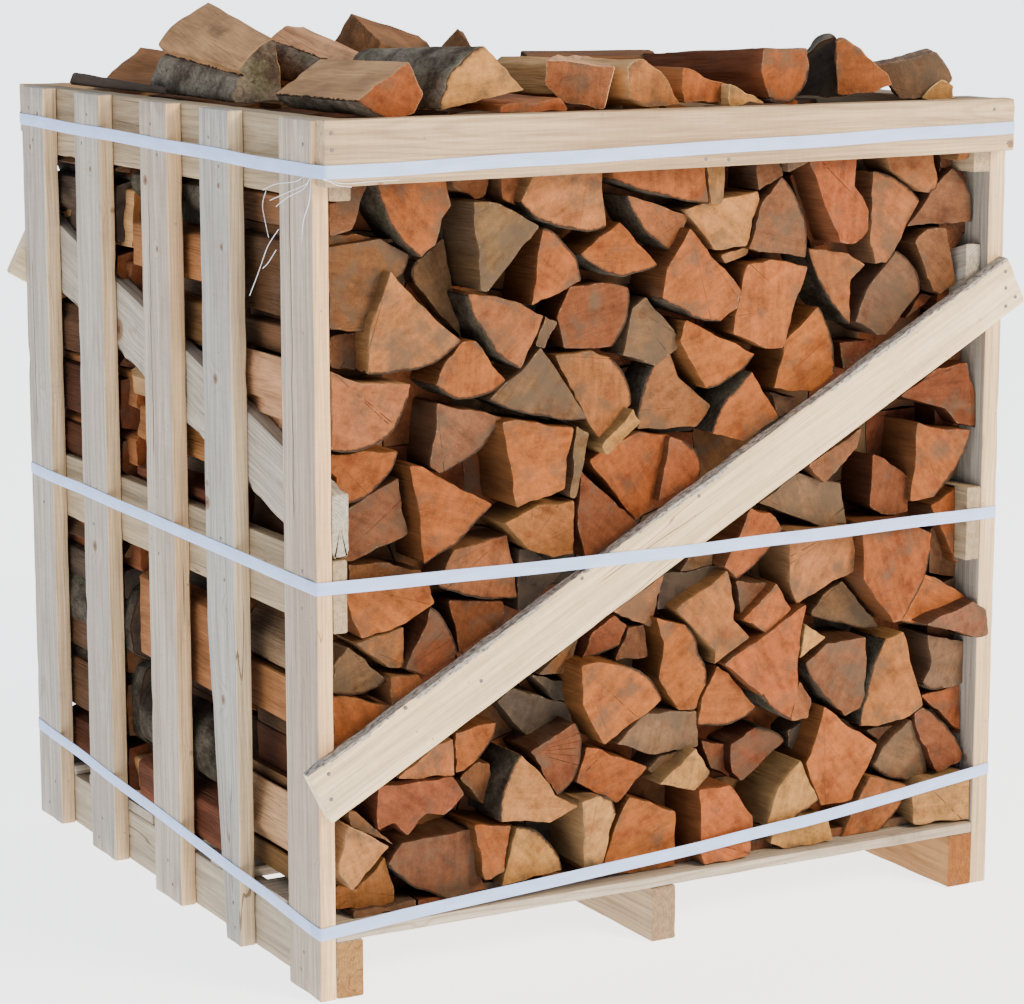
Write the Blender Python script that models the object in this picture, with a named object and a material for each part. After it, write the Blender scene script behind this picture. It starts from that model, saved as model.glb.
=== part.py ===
"""A one-metre crate of stacked firewood on a slatted pallet.

Metres, +Z up, the origin on the ground under the middle of the crate. +X runs to the
right along the front, which is the side at -Y that shows the ends of the billets.

The crate is a low pallet (three stringers under seven deck boards) with a wall of five
upright slats on the left and the right. Side boards, mid rails and slanting boards stiffen
the walls inside, a top rail and a slanting brace close the front and the back, and three
plastic straps go round it all. Inside stand three rows of billets, one behind the other,
and more billets lie loose on top of the rows.
"""

import math

import bmesh
import bpy
from mathutils import Vector

# ---------------------------------------------------------------- driving dimensions
CM = 0.01
GAP = 0.0003

HALF_WIDTH = 0.525
HALF_DEPTH = 0.500
HEIGHT = 1.110

LEFT_SLAT_THICKNESS = 0.022
RIGHT_SLAT_THICKNESS = 0.027
LEFT_WALL = -HALF_WIDTH + LEFT_SLAT_THICKNESS + GAP
RIGHT_WALL = HALF_WIDTH - RIGHT_SLAT_THICKNESS - GAP
SLAT_SPANS = ((0.409, 0.500), (0.192, 0.287), (-0.052, 0.043), (-0.252, -0.158), (-0.500, -0.404))
TAPERED_SLAT = 3
TAPER_START = 0.43
TAPERED_FOOT = 0.047

STRINGER_HEIGHT = 0.075
STRINGER_SPANS = {"left": (LEFT_WALL, -0.465), "middle": (-0.035, 0.003), "right": (0.4577, RIGHT_WALL)}

DECK_BOARDS = 7
DECK_BOARD_WIDTH = 0.095
DECK_THICKNESS = 0.015
DECK_TOP = STRINGER_HEIGHT + GAP + DECK_THICKNESS

SIDE_TOP_BOARD = (1.012, 1.110)
LEFT_TOP_BOARD_FACE = -0.473
RIGHT_TOP_BOARD_FACE = 0.470
LEFT_MID_RAIL = (0.475, 0.568)
RIGHT_MID_RAIL = (0.472, 0.575)
LEFT_MID_RAIL_FACE = -0.4827
RIGHT_MID_RAIL_FACE = 0.474

DIAGONAL_WIDTH = 0.098
LEFT_DIAGONAL = ((-0.500, 0.600), (0.500, 0.884))
RIGHT_DIAGONAL = ((-0.485, 0.862), (0.500, 0.600))
LEFT_DIAGONAL_FACE = -0.480
RIGHT_DIAGONAL_FACE = 0.4727

FRONT_PLANE = -HALF_DEPTH - GAP
RAIL_FRONT = -0.5263
RAIL_OUTLINE = ((-0.520, 1.031), (0.517, 1.041), (0.517, 1.112), (-0.520, 1.112))
BRACE_FRONT = -0.5203
BRACE_OUTLINE = ((-0.549, 0.306), (-0.516, 0.2385), (0.549, 0.8325), (0.517, 0.8965))

STRAP_WIDTH = 0.0165
STRAP_THICKNESS = 0.001
# Stations round the crate, anticlockwise from the front left corner: x, y, lower edge.
TOP_STRAP = (
    (-0.525, -0.500, 1.0405), (-0.520, RAIL_FRONT, 1.0405), (0.000, RAIL_FRONT, 1.052),
    (0.517, RAIL_FRONT, 1.0645), (0.525, -0.500, 1.065), (0.525, 0.500, 1.060),
    (0.520, -RAIL_FRONT, 1.060), (-0.517, -RAIL_FRONT, 1.054), (-0.525, 0.500, 1.053),
)
MIDDLE_STRAP = (
    (-0.525, -0.500, 0.526), (-0.148, BRACE_FRONT, 0.527), (0.048, BRACE_FRONT, 0.528),
    (0.525, -0.500, 0.529), (0.525, 0.500, 0.529), (0.148, -BRACE_FRONT, 0.529),
    (-0.048, -BRACE_FRONT, 0.529), (-0.525, 0.500, 0.529),
)
BOTTOM_STRAP = (
    (-0.525, -0.500, 0.081), (-0.413, -0.500, 0.089), (-0.160, -0.500, 0.102),
    (0.041, -0.500, 0.113), (0.215, -0.500, 0.126), (0.372, -0.500, 0.141),
    (0.525, -0.500, 0.159), (0.525, 0.500, 0.155), (-0.525, 0.500, 0.131),
)

# ---------------------------------------------------------------- firewood
BILLET_LENGTH = 0.330
ROW_FRONTS = {"front": -0.500, "middle": -0.165, "back": 0.170}
ROW_TOP = 1.100
CORE_SETBACK = 0.100
CORE_LEFT = -0.465
CORE_RIGHT = 0.458
CORE_TOP = 1.062
ANCHOR = 0.010
SIDE_BAND = 0.430
CLEAR = 0.0010
NOTCH_SCALE = 1.03
DEEP_ARC = 0.012
SHRINK = 0.985
LEAST_BACK_RECESS = 0.003
# Billets stop short of each shared plane by a multiple of this, so no two faces lie in one plane.
STAGGER = 0.0004
STAGGER_CYCLE = 7

# The row list gives each corner where it lines up with the front plane for somebody who
# stands at this point, so an end that is set back keeps its place in that view.
STANDING_EYE = Vector((-2.118, -3.855, 1.329))

# The billet ends of the front row, in centimetres: how far the end is set back, which edge
# is bark (it starts at that corner) and how far the bark bulges, then the corners (x, z).
ROW = [
    # under the top rail, left to right
    (4, None, 0, [(-47, 109.5), (-43, 108), (-43.6, 105), (-47.2, 97.6),
        (-50.1, 97), (-50.1, 100.9), (-47.1, 101)]),
    (1.5, 0, 1.3, [(-43.8, 104.5), (-37.7, 93.7), (-35.6, 95.2), (-34.8, 98.6),
        (-33.4, 100), (-35.5, 108.5), (-42, 109.5)]),
    (4.5, None, 0, [(-34.5, 109), (-28, 108), (-27.4, 104.5),
        (-28.4, 101), (-29.8, 100.5), (-33, 102.2)]),
    (3, 2, 0.4, [(-27, 108.5), (-20.5, 109.5), (-19.9, 103.5), (-23.7, 99.4), (-26.2, 100.6)]),
    (1, 4, 1.7, [(-21.5, 104.5), (-19, 109), (-12.5, 109.8),
        (-11.5, 105.5), (-10.4, 96.2), (-23.6, 99.9)]),
    (1.5, 4, 0.5, [(-10.8, 105.5), (-8.5, 109.5), (2, 109), (3.6, 105), (4.3, 98.7), (-9.6, 102.2)]),
    (2, None, 0, [(3.2, 109), (8, 109.5), (7.2, 105), (6.9, 101.5), (6.3, 98.6), (4.7, 98.6)]),
    (2, None, 0, [(9.5, 108.5), (15, 109.5), (15.6, 105), (16, 101.9), (12, 100), (11.8, 105)]),
    (0.5, None, 0, [(20.4, 103), (19.5, 107.5), (24, 109.6), (29.5, 108.5), (28.2, 105), (27.7, 100),
        (30, 96.6), (30, 94), (27.6, 92.3), (25.2, 92.5), (24, 95)]),
    (3, 4, 0.5, [(31, 107.5), (34, 109.6), (39.8, 109), (40.2, 105),
        (41, 100.3), (39.8, 98.7), (38.3, 98.9), (33.5, 101.9)]),
    (4.5, None, 0, [(40.8, 109), (44.5, 108.5), (44, 104), (42.6, 101.8), (41.4, 101.9), (40.8, 105)]),
    (1, None, 0, [(15.8, 107.5), (19.6, 107), (20, 103.5), (16.6, 102.3)]),
    (0.5, None, 0, [(44.4, 108), (46.4, 107.5), (46.5, 103), (44.6, 102.8)]),
    # second tier
    (3, 2, 1, [(-50.2, 95.6), (-43, 96.4), (-39.2, 94.2), (-42.3, 91.2), (-45.3, 85), (-50.2, 85.6)]),
    (5, None, 0, [(-50.2, 97.2), (-46, 96.9), (-40.5, 96), (-43, 95.9), (-50.2, 95.7)]),
    (0.5, 2, 1.4, [(-41.6, 92.3), (-38, 88.2), (-32, 83), (-44.8, 79.6), (-44.4, 85.3)]),
    (5, None, 0, [(-50.2, 84.6), (-45, 85.4), (-45, 79.8), (-50.2, 81)]),
    (6.5, 3, 0.6, [(-34.1, 96), (-32.6, 87.3), (-32, 83.2), (-38.4, 90.6), (-37.9, 93.4)]),
    (0, None, 0, [(-30, 100.4), (-26.5, 100), (-20.9, 96.9), (-28.1, 88.9), (-29, 89.1), (-29.9, 97.4)]),
    (1.5, 0, 1.4, [(-20.4, 96.7), (-14.3, 89.6), (-22, 86.9)]),
    (1.5, 1, 1.9, [(-8.9, 96.9), (-3.1, 91), (-15, 93)]),
    (3, 2, 1.3, [(-8.2, 100.3), (1.5, 97.2), (-0.7, 92.6)]),
    (2, None, 0, [(1, 98), (6.5, 99.2), (12.2, 100), (12.4, 98.8), (10.3, 92.9), (5.4, 92.6)]),
    (3.5, None, 0, [(6.3, 92), (10.9, 92.9), (10.6, 91.8), (7, 90.7)]),
    (1.5, 0, 1.6, [(15.9, 101.8), (20.3, 90.8), (10.5, 92.5), (12.6, 98.4)]),
    (6, None, 0, [(16.9, 101.9), (21, 102), (24, 96.4), (24.2, 92.4), (21, 92)]),
    (3.5, 0, 0.8, [(30.3, 102), (38.7, 97.7), (36, 93.6), (33.4, 89.4), (31.2, 89.4), (30.1, 92.2)]),
    (3, 0, 1.2, [(43.5, 102), (47.3, 94.4), (36.5, 94.2), (40.4, 99.2)]),
    (3, None, 0, [(37.6, 92.2), (39.5, 93.7), (42.8, 93.8), (44.6, 86.2), (42, 84.7), (40.8, 85.2)]),
    # third tier
    (1, 3, 1.3, [(-31.1, 88.8), (-26.8, 88.4), (-20, 85.5), (-23.6, 78.9)]),
    (3, 2, 0.9, [(-16.3, 89), (-11.7, 89.3), (-7.7, 88.4), (-9.8, 80.8), (-16.7, 81), (-18, 85.1)]),
    (3.5, None, 0, [(-20, 85.6), (-18.2, 84.6), (-20, 81.2), (-21.4, 81.8)]),
    (3.5, None, 0, [(-5, 87.1), (-2.4, 84.4), (0.3, 80.4), (-3.5, 78), (-8.5, 79.6), (-7, 85.8)]),
    (1, 3, 0.6, [(1.5, 95.7), (10, 87), (9.5, 84.7), (6.7, 83.1), (-2.6, 86.6), (-2, 90.5)]),
    (1, None, 0, [(10.8, 90.4), (14.3, 90.9), (20, 89.7), (18.2, 84.7),
        (16.8, 79), (13.9, 79.1), (9.1, 81.3), (9.9, 86)]),
    (2.5, 4, 1.1, [(20, 92.1), (26.5, 91.2), (29.5, 89.5), (27.1, 87.5), (27.2, 81.4)]),
    (3, 0, 1, [(35, 91.1), (38.7, 85.4), (33, 79.8), (31.5, 79.7), (28, 81.8), (30.4, 86.6)]),
    (5, None, 0, [(25.4, 79.2), (30, 79.2), (31.6, 78.5), (26.2, 75.5)]),
    (5, None, 0, [(36, 81.8), (38.8, 85), (41.5, 84.7)]),
    # fourth tier
    (1.5, 3, 2.9, [(-50.2, 80.5), (-46, 78.6), (-39, 78.1), (-39.3, 76.6), (-50.2, 70.6)]),
    (2, 2, 2.2, [(-31.8, 83.1), (-30, 83), (-25.7, 77.6), (-35.6, 77.6), (-34.4, 80.5)]),
    (1.5, 1, 1, [(-20.4, 81.5), (-13.7, 71.8), (-28, 75.3), (-23.1, 78.8)]),
    (3.5, 2, 0.7, [(-18.4, 80.3), (-12.8, 80.6), (-10.2, 79.6), (-7, 73.3), (-11.9, 69), (-13.6, 71.3)]),
    (3.5, 5, 0.8, [(-3.5, 78), (-1, 79.4), (0.2, 76.2), (5, 72.2), (2.8, 69.5), (-6, 69.8)]),
    (2, 2, 0.8, [(0.2, 81), (1.3, 83.7), (12.6, 78.4), (4.3, 74.4)]),
    (1, 3, 0.8, [(11.5, 76.3), (15.8, 69.8), (10.8, 66.8), (5.4, 68.4)]),
    (2, 0, 0.7, [(22, 84.3), (24.8, 75.2), (21.3, 72.8), (14.8, 73.7), (16.6, 80)]),
    (4.5, None, 0, [(14.2, 73.3), (18.8, 72.3), (18.6, 71.2), (15.8, 69.9)]),
    (5, None, 0, [(42, 74.8), (48.3, 78.3), (49.2, 77), (47.3, 75.2)]),
    (1.5, None, 0, [(42.4, 74.6), (47.2, 75), (48.5, 70.7), (50, 65.9),
        (45.5, 66.6), (43.5, 68.8), (36.3, 71)]),
    # fifth tier
    (3, 1, 1.6, [(-50.2, 70.2), (-41, 69.9), (-47.8, 63.8), (-50.2, 64.2)]),
    (3, 1, 1, [(-35.5, 75.5), (-26.1, 73), (-35.2, 66.4), (-36.6, 67.5)]),
    (1.5, 2, 0.4, [(-39, 67.7), (-37.2, 67.5), (-27.4, 61.8), (-37.5, 55.1), (-38, 62)]),
    (4, None, 0, [(-47.6, 63.3), (-41, 66.6), (-39.8, 59.2), (-47.2, 56.4), (-49, 56.8)]),
    (0.5, None, 0, [(-25.9, 72.2), (-23.9, 72.4), (-15.4, 70.7), (-17, 62.9), (-24.2, 61.2)]),
    (2, None, 0, [(-15, 71), (-13, 69.9), (-15.5, 61.6), (-16.4, 62)]),
    (2, None, 0, [(-26, 59.4), (-21, 61.3), (-15.6, 61.3), (-15.4, 54.2), (-18.5, 54), (-22.4, 55.6)]),
    (2.5, None, 0, [(-14.8, 65.4), (-12.5, 63), (-6, 57.4), (-12, 53.5), (-13.8, 53.5), (-15.1, 58)]),
    (1.5, None, 0, [(-6.9, 72.7), (-5.6, 70.9), (-10.7, 66.8), (-11.5, 68.1)]),
    (3.5, None, 0, [(-13.5, 66.4), (-9.5, 68.3), (-6, 69.5), (-1, 68.7),
        (-1.6, 65.6), (-3, 59.4), (-5.8, 57.6)]),
    (2.5, 1, 1.1, [(-1, 68.6), (0.8, 67.9), (3.4, 62.7), (-2.8, 59.9)]),
    (2, None, 0, [(29.3, 67.3), (28.7, 64.8), (23.5, 60.2), (20.8, 62.9)]),
    (3, None, 0, [(19.5, 61.9), (26.1, 60), (27.2, 54.3), (23, 54.3), (13.2, 58.3)]),
    (2.5, None, 0, [(31.5, 63.4), (33.5, 62.8), (38, 59.5), (37.4, 55), (33, 55.1), (30.9, 56.3)]),
    (1, 2, 0.9, [(39.1, 67.3), (43.5, 66), (47.8, 65.6), (42, 56.6), (38.2, 56.3)]),
    # level with the middle strap
    (3.5, 2, 0.6, [(-33, 56.5), (-25.2, 57.7), (-24.1, 49.4), (-35.5, 52)]),
    (4.5, None, 0, [(-48, 56.1), (-43, 55.9), (-37.8, 54.4), (-38, 53.7), (-48, 53.8)]),
    (2.5, None, 0, [(-48.2, 53.6), (-37.3, 53.6), (-35.9, 50),
        (-39.8, 47.6), (-45.8, 46.2), (-47.2, 48.8)]),
    (4, None, 0, [(-23.9, 55.8), (-22.4, 55.7), (-17, 52.5), (-21, 48.6), (-23.9, 47.6)]),
    (2, 2, 0.5, [(12, 57.8), (15.2, 56.8), (17.2, 54.4), (9.5, 48.4), (7.4, 50.3)]),
    (1.5, None, 0, [(17.8, 54), (28.3, 54), (29.6, 50), (29.6, 47.3),
        (25.8, 46.2), (19.8, 43.6), (18.3, 47)]),
    (0.5, 3, 0.7, [(29.8, 54), (37, 54.2), (42.2, 51.5), (42, 49),
        (36.9, 39.8), (35.4, 39.5), (30.2, 46.2)]),
    (2.5, 2, 0.4, [(41.3, 55.5), (45.7, 57.8), (47.2, 57.4), (49.2, 50), (46.1, 46.8)]),
    (5, None, 0, [(2, 52.4), (5.8, 52.6), (5.5, 50.6), (0.5, 50.3)]),
    (4.5, None, 0, [(-2, 50.2), (7.4, 50.6), (8, 49.8), (0.5, 45), (-2.8, 45.4)]),
    # sixth tier
    (3.5, None, 0, [(-47.2, 46), (-40.2, 47.3), (-40.2, 42.1), (-42.5, 42.3)]),
    (4.5, 2, 1, [(-50.2, 43.5), (-48.3, 45.8), (-42.8, 40.8), (-50.2, 39.9)]),
    (2.5, 0, 0.7, [(-36.6, 49.6), (-32.5, 42.9), (-36.6, 40.6), (-40, 41.9), (-38, 46)]),
    (3.5, None, 0, [(-33.7, 50), (-26.1, 49.2), (-26.1, 46.2), (-32.4, 43)]),
    (3, None, 0, [(-42.4, 41.1), (-38.5, 41.1), (-36.8, 39.4), (-42.2, 37.2)]),
    (3.5, None, 0, [(-50.2, 39.3), (-46.5, 38.8), (-42, 37), (-50.2, 32.8)]),
    (3.5, None, 0, [(-9.5, 45.9), (-2, 50.3), (-3.6, 43.2)]),
    (4, 3, 0.3, [(-12.8, 43.8), (-9.5, 45.6), (-7.4, 44), (-8.7, 41.4), (-14.6, 40.3)]),
    (4.5, None, 0, [(-7.4, 43.6), (-4.7, 43.8), (-4.2, 39.3), (-9.5, 39.5)]),
    (5, None, 0, [(-21, 39), (-14.8, 43.4), (-16.2, 38.3)]),
    (2, 1, 0.8, [(-3, 44.5), (1.5, 43), (5, 34.5), (3.6, 31.2), (1, 31.3), (-2.2, 36), (-1.6, 41)]),
    (1.5, None, 0, [(8.2, 49.7), (9.4, 44.7), (9.1, 42.9), (11.7, 40.2),
        (6, 37.1), (6.4, 38.8), (3.2, 42.1), (0.2, 45.2)]),
    (3, None, 0, [(9.2, 48.2), (15.4, 47.4), (12.9, 44.7), (10.2, 43.1)]),
    (1.5, None, 0, [(15.8, 47.3), (18.4, 43.4), (14.3, 40.4), (10.4, 42.8), (13, 44.6)]),
    (4, 2, 0.5, [(24, 44.5), (27.2, 46.3), (33, 39.2), (22, 42)]),
    (2.5, 2, 1.9, [(40.9, 45.8), (43.5, 44.8), (48.8, 41.6), (36.5, 39.6)]),
    (-0.6, None, 0, [(41, 38.8), (47, 40.4), (49.4, 41.2), (51.7, 39.8),
        (52.2, 36), (50, 35.8), (43.5, 38)]),
    # seventh tier
    (0.5, 3, 0.8, [(-14.4, 39.2), (-12, 39.6), (-8.7, 38.8), (-7.7, 38.6),
        (-2.1, 33.4), (-4.3, 31.8), (-10.9, 28.2), (-14.3, 34)]),
    (5.5, None, 0, [(-22, 39), (-14.3, 37), (-14.3, 34), (-18.5, 35.2)]),
    (5.5, None, 0, [(-27, 36), (-24.8, 37.6), (-16.5, 34.6), (-15.5, 31.8), (-21.8, 30)]),
    (3, 1, 0.6, [(-33.2, 32.8), (-27, 33.4), (-29.8, 28.7), (-33, 27.3)]),
    (2.5, None, 0, [(-41.5, 27.9), (-36, 31.4), (-33.4, 32), (-33.1, 27.1), (-37.9, 27.3)]),
    (1, None, 0, [(20.7, 41.1), (24.3, 38.8), (19.7, 36.3)]),
    (0.5, 3, 0.4, [(20.9, 43.8), (19.6, 36.6), (19.6, 31), (18.4, 28),
        (14, 31.8), (8, 36.8), (14.3, 40.2)]),
    (2.5, None, 0, [(19.8, 33.2), (21.9, 30.5), (21.4, 27.8), (18.6, 27.8)]),
    (2.5, 2, 1, [(6.5, 36.9), (8.4, 35.8), (12.8, 30.3), (3.9, 28.9), (4.3, 32.5)]),
    (1.5, 4, 0.5, [(24.5, 38), (30.8, 38.2), (31.3, 28.5), (28, 27), (26.5, 28.4), (21, 35.5)]),
    (1, 5, 0.6, [(34.2, 37.4), (37.2, 38.2), (40.8, 27.2), (38.7, 25.9), (33.5, 25), (30.6, 25.4)]),
    (2.5, 3, 0.6, [(41.3, 37.3), (49.6, 35), (49.4, 29.6), (44.3, 29.2), (40.6, 30.4), (42, 33.5)]),
    # eighth tier
    (1.5, None, 0, [(-44.2, 27.2), (-33.2, 26.8), (-31.3, 24.2), (-34.2, 21.8),
        (-37, 22.5), (-39.8, 19.9), (-41.8, 21.9), (-44.2, 21.4)]),
    (4.5, None, 0, [(-32.6, 26.6), (-29.8, 28.5), (-28, 28), (-27.5, 23.2), (-29, 22.6)]),
    (0.5, 5, 1, [(-23.3, 28.5), (-19.8, 24.7), (-18.1, 22.2), (-14.6, 20.3), (-19, 18.7), (-26.6, 20)]),
    (1.5, 1, 2.2, [(-22, 28.7), (-15.4, 31.9), (-17.6, 22)]),
    (2.5, None, 0, [(-13.3, 28.2), (-8, 26.2), (-4.3, 24.4), (-9, 20.1), (-15, 23.6)]),
    (3, None, 0, [(-4.3, 31.8), (3.5, 31.1), (4, 26), (-2.8, 25.8), (-9, 28.1), (-6.5, 30.3)]),
    (4.5, None, 0, [(-4.3, 24), (-2.4, 25.7), (3, 25.7), (-2.2, 21.9)]),
    (1.5, None, 0, [(3.4, 26), (5.6, 22.2), (3.2, 20.1), (-2.4, 21.7)]),
    (4, 1, 0.6, [(8.7, 25.8), (13, 27.6), (18, 25), (10.6, 20.3), (9, 21.8)]),
    (5.5, None, 0, [(4, 27), (8.6, 25.6), (9, 21), (5.8, 22.8)]),
    (5, None, 0, [(18.2, 26.4), (22.5, 28.5), (23, 24.2), (21, 22.2), (18.5, 24)]),
    (1, None, 0, [(23.9, 29.2), (27.2, 26.6), (33.6, 22.4), (32, 19.2),
        (29.5, 14.9), (24.3, 14.8), (21.3, 21.4), (23, 25)]),
    (5, None, 0, [(31.2, 24.9), (38, 25.2), (34.2, 22.2)]),
    (3, 3, 0.4, [(38.7, 25.5), (40.6, 22.5), (42.2, 17.3), (38.7, 16.5), (32.5, 19.6), (34, 22)]),
    (2, 1, 0.8, [(39.6, 26), (41.2, 26.8), (48, 19.4), (47.6, 18.2), (43.5, 17.2), (40.6, 22.2)]),
    (3, None, 0, [(41, 28.4), (48, 29.6), (49.1, 22.3), (46.5, 23.3)]),
    # bottom tiers
    (1, None, 0, [(-48.3, 22.6), (-42.4, 18.9), (-47.9, 14), (-49.8, 17)]),
    (2.5, None, 0, [(-48.5, 24.6), (-47.4, 24.4), (-42, 19.2), (-48.2, 22.7)]),
    (4, None, 0, [(-43.4, 17.8), (-41.8, 13), (-42.3, 11), (-50.2, 11.8), (-50.2, 15), (-47.5, 13.8)]),
    (3, 4, 0.7, [(-40.9, 19.2), (-30.5, 19.7), (-30, 15.5), (-28.7, 11.3), (-34.6, 11), (-42.8, 16.6)]),
    (1, None, 0, [(-30.2, 20), (-24.8, 19.2), (-26, 13.2), (-28.9, 12.5)]),
    (1.5, 0, 1.7, [(-24, 19), (-17, 12), (-26.5, 11.3)]),
    (0.5, 1, 0.5, [(-14.4, 21), (-11.3, 21.2), (-9, 18.8), (-11, 12), (-13.9, 11.8)]),
    (2, None, 0, [(-7.2, 20.7), (0.2, 17.7), (0.4, 9.9), (-11.5, 10), (-8.5, 18)]),
    (0.5, None, 0, [(4, 20.1), (9.1, 20), (12.9, 15), (12.4, 9.5), (4.8, 9.5), (4.2, 13)]),
    (0.5, 1, 0.7, [(20.4, 22), (23.9, 15.7), (14.6, 13.2), (16.5, 18.5)]),
    (2.5, 1, 0.8, [(32, 18.2), (38.5, 16), (33.5, 9.7), (27.6, 9.5), (29.5, 14)]),
    (1.5, None, 0, [(16.5, 13.1), (25, 13.6), (26, 9.9), (18, 9.7), (15.8, 10.7)]),
    (0.5, None, 0, [(39.8, 13.8), (41.5, 16.2), (49.9, 16.5), (50.3, 13.5), (49.6, 9.5), (40.2, 9.9)]),
]

# The billets that lie loose on top, in centimetres and degrees: the (x, y) of the near end,
# length, yaw (+ turns the far end to the right), pitch (+ lifts it), the far end's scale,
# and the corners of the near end (distance across, height).
LOOSE = [
    (-41, -49, 30, 5, -1, 0.95, [(2.1, 117.8), (4.1, 113.9), (2.8, 111.4), (-1, 110.9), (-4.7, 113.1)]),
    (-29, -49, 31, 0, -2, 0.95, [(0.7, 119.5), (6.5, 113.9), (-5.3, 111.7), (-4.6, 114.2), (-2.6, 117.3)]),
    (-14, -48.5, 22, 30, 3, 0.6, [(-4.6, 117.4), (4.2, 116.6), (2.8, 111.3), (-2.5, 112.2), (-4.6, 114.4)]),
    (-4, -49, 33, -4, -1, 1,
        [(-3.7, 116.4), (-1.4, 117.4), (2, 115.3), (4.8, 111.5), (0, 111.3), (-3.4, 112.6)]),
    (17.5, -47.5, 33, 1.5, -2, 0.8,
        [(-3.3, 118.4), (3.6, 118.3), (3.9, 115.5), (1.4, 111.2), (-2.3, 111.8), (-3.7, 115.4)]),
    (5, -47.5, 28, 3, 0, 1, [(-3.3, 116), (-1.6, 115.8), (5, 112.9), (7.5, 111.6), (-3, 111.6)]),
    (10, -49.6, 20, 0, 0, 1, [(-2.4, 114), (3.0, 111.4), (-2.2, 111.2)]),
    (29, -48.5, 20, 33, -1, 0.9,
        [(-3.3, 119.2), (-2.2, 119.6), (1.5, 116.6), (4.2, 113.4), (1.8, 112.2), (-3, 112)]),
    (39, -46.5, 14, 32, 0, 1,
        [(-4.9, 115.5), (3.1, 117.5), (5.4, 113.8), (2.7, 111.4), (-1.7, 111.2), (-3.9, 114.4)]),
    (41.7, -48.5, 12, 20, 0, 1, [(-2.2, 111.3), (0.6, 113.8), (2.4, 112.9), (2.3, 111.2)]),
    (-44.2, 12, 31, -2, 1, 2.2, [(-1.2, 111.2), (-0.9, 112.1), (1.4, 111.3)]),
    (-35.5, 24.5, 24.5, -1, 1.2, 1.1, [(-3.4, 111.2), (2.2, 115.7), (5, 111.4)]),
    (-41.3, -10, 33, 6, 3.3, 1.5,
        [(-3.2, 111), (-2.9, 113), (-1.8, 114.5), (-2.7, 115.4), (-0.8, 117.5), (2.5, 119.4),
         (3.2, 115.6), (3, 111.1)]),
    (-28, -17, 24, -2, 7, 1.55,
        [(-2.6, 112), (-3.2, 114), (-2.2, 115.4), (-0.6, 116.6), (1.4, 116.4), (2.4, 112.6)]),
    (-24, -3, 24, 50, -8, 0.9, [(-3.5, 117), (0, 122.5), (4.5, 118.5), (3, 115)]),
    (-5.3, 3, 20, 30, -3, 1, [(-6, 112), (1, 120), (3.5, 116), (4, 112)]),
    (19, -12, 19, -75, 0, 1, [(-4, 111.2), (-4, 116.2), (1, 117), (4, 113.5), (4, 111.2)]),
    (-22, 48.5, 31, 178, 0, 0.9, [(-5, 111.5), (-3, 116), (2, 118), (5, 114), (4, 111.3)]),
    (-8, 48, 24, 184, 0, 0.9, [(-5, 111.4), (-2, 117), (4, 115), (5, 111.5)]),
    (6, 49, 31, 176, 0, 1, [(-6, 111.4), (-4, 114), (3, 115.5), (6, 111.4)]),
    (22, 48, 30, 186, 0, 0.9, [(-5, 111.3), (-2, 113.8), (4, 113.2), (5, 111.3)]),
    (36, 46, 28, 172, 0, 1, [(-5, 111.3), (-1, 114.2), (4, 112.8), (5, 111.3)]),
    (29.5, -38, 20, 33, -1, 1,
        [(-3, 111.3), (-2.6, 114.2), (-0.8, 117.6), (2.2, 119.6), (4, 116), (4, 111.3)]),
    (-21, -49.3, 30, 0, 0, 1, [(-5.5, 111.2), (-5, 112), (3.4, 112.8), (4.6, 111.2)]),
]

# ---------------------------------------------------------------- finishes
FINISHES = {
    "pine_board": ((0.62, 0.50, 0.36, 1), 0.75),
    "weathered_board": ((0.42, 0.38, 0.31, 1), 0.85),
    "split_wood": ((0.50, 0.24, 0.11, 1), 0.80),
    "strap_plastic": ((0.62, 0.69, 0.82, 1), 0.40),
}


def finish(name):
    """The named Principled material, made on first use."""
    material = bpy.data.materials.get(name)
    if material is None:
        colour, roughness = FINISHES[name]
        material = bpy.data.materials.new(name)
        material.use_nodes = True
        shader = material.node_tree.nodes["Principled BSDF"]
        shader.inputs["Base Color"].default_value = colour
        shader.inputs["Roughness"].default_value = roughness
        shader.inputs["Metallic"].default_value = 0.0
    return material


# ---------------------------------------------------------------- making solids
def add_object(name, bm, collection, finish_name, origin=(0, 0, 0)):
    """An object from a bmesh whose points are relative to origin."""
    bmesh.ops.recalc_face_normals(bm, faces=bm.faces)
    mesh = bpy.data.meshes.new(name)
    bm.to_mesh(mesh)
    bm.free()
    mesh.materials.append(finish(finish_name))
    made = bpy.data.objects.new(name, mesh)
    made.location = origin
    collection.objects.link(made)
    return made


def add_box(name, collection, finish_name, low, high):
    """A board with square edges between two opposite corners."""
    low, high = Vector(low), Vector(high)
    bm = bmesh.new()
    bmesh.ops.create_cube(bm, size=1.0)
    bmesh.ops.scale(bm, vec=high - low, verts=bm.verts)
    return add_object(name, bm, collection, finish_name, (low + high) / 2)


def extrude_outline(bm, corners, along):
    """Adds one closed prism: the flat outline through corners, extruded by along."""
    face = bm.faces.new([bm.verts.new(corner) for corner in corners])
    grown = bmesh.ops.extrude_face_region(bm, geom=[face])["geom"]
    moved = [item for item in grown if isinstance(item, bmesh.types.BMVert)]
    bmesh.ops.translate(bm, vec=along, verts=moved)


def add_side_plate(name, collection, finish_name, outline, x0, x1):
    """A board with the outline (y, z), between two planes across X."""
    bm = bmesh.new()
    extrude_outline(bm, [(x0, y, z) for y, z in outline], (x1 - x0, 0, 0))
    return add_object(name, bm, collection, finish_name)


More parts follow.
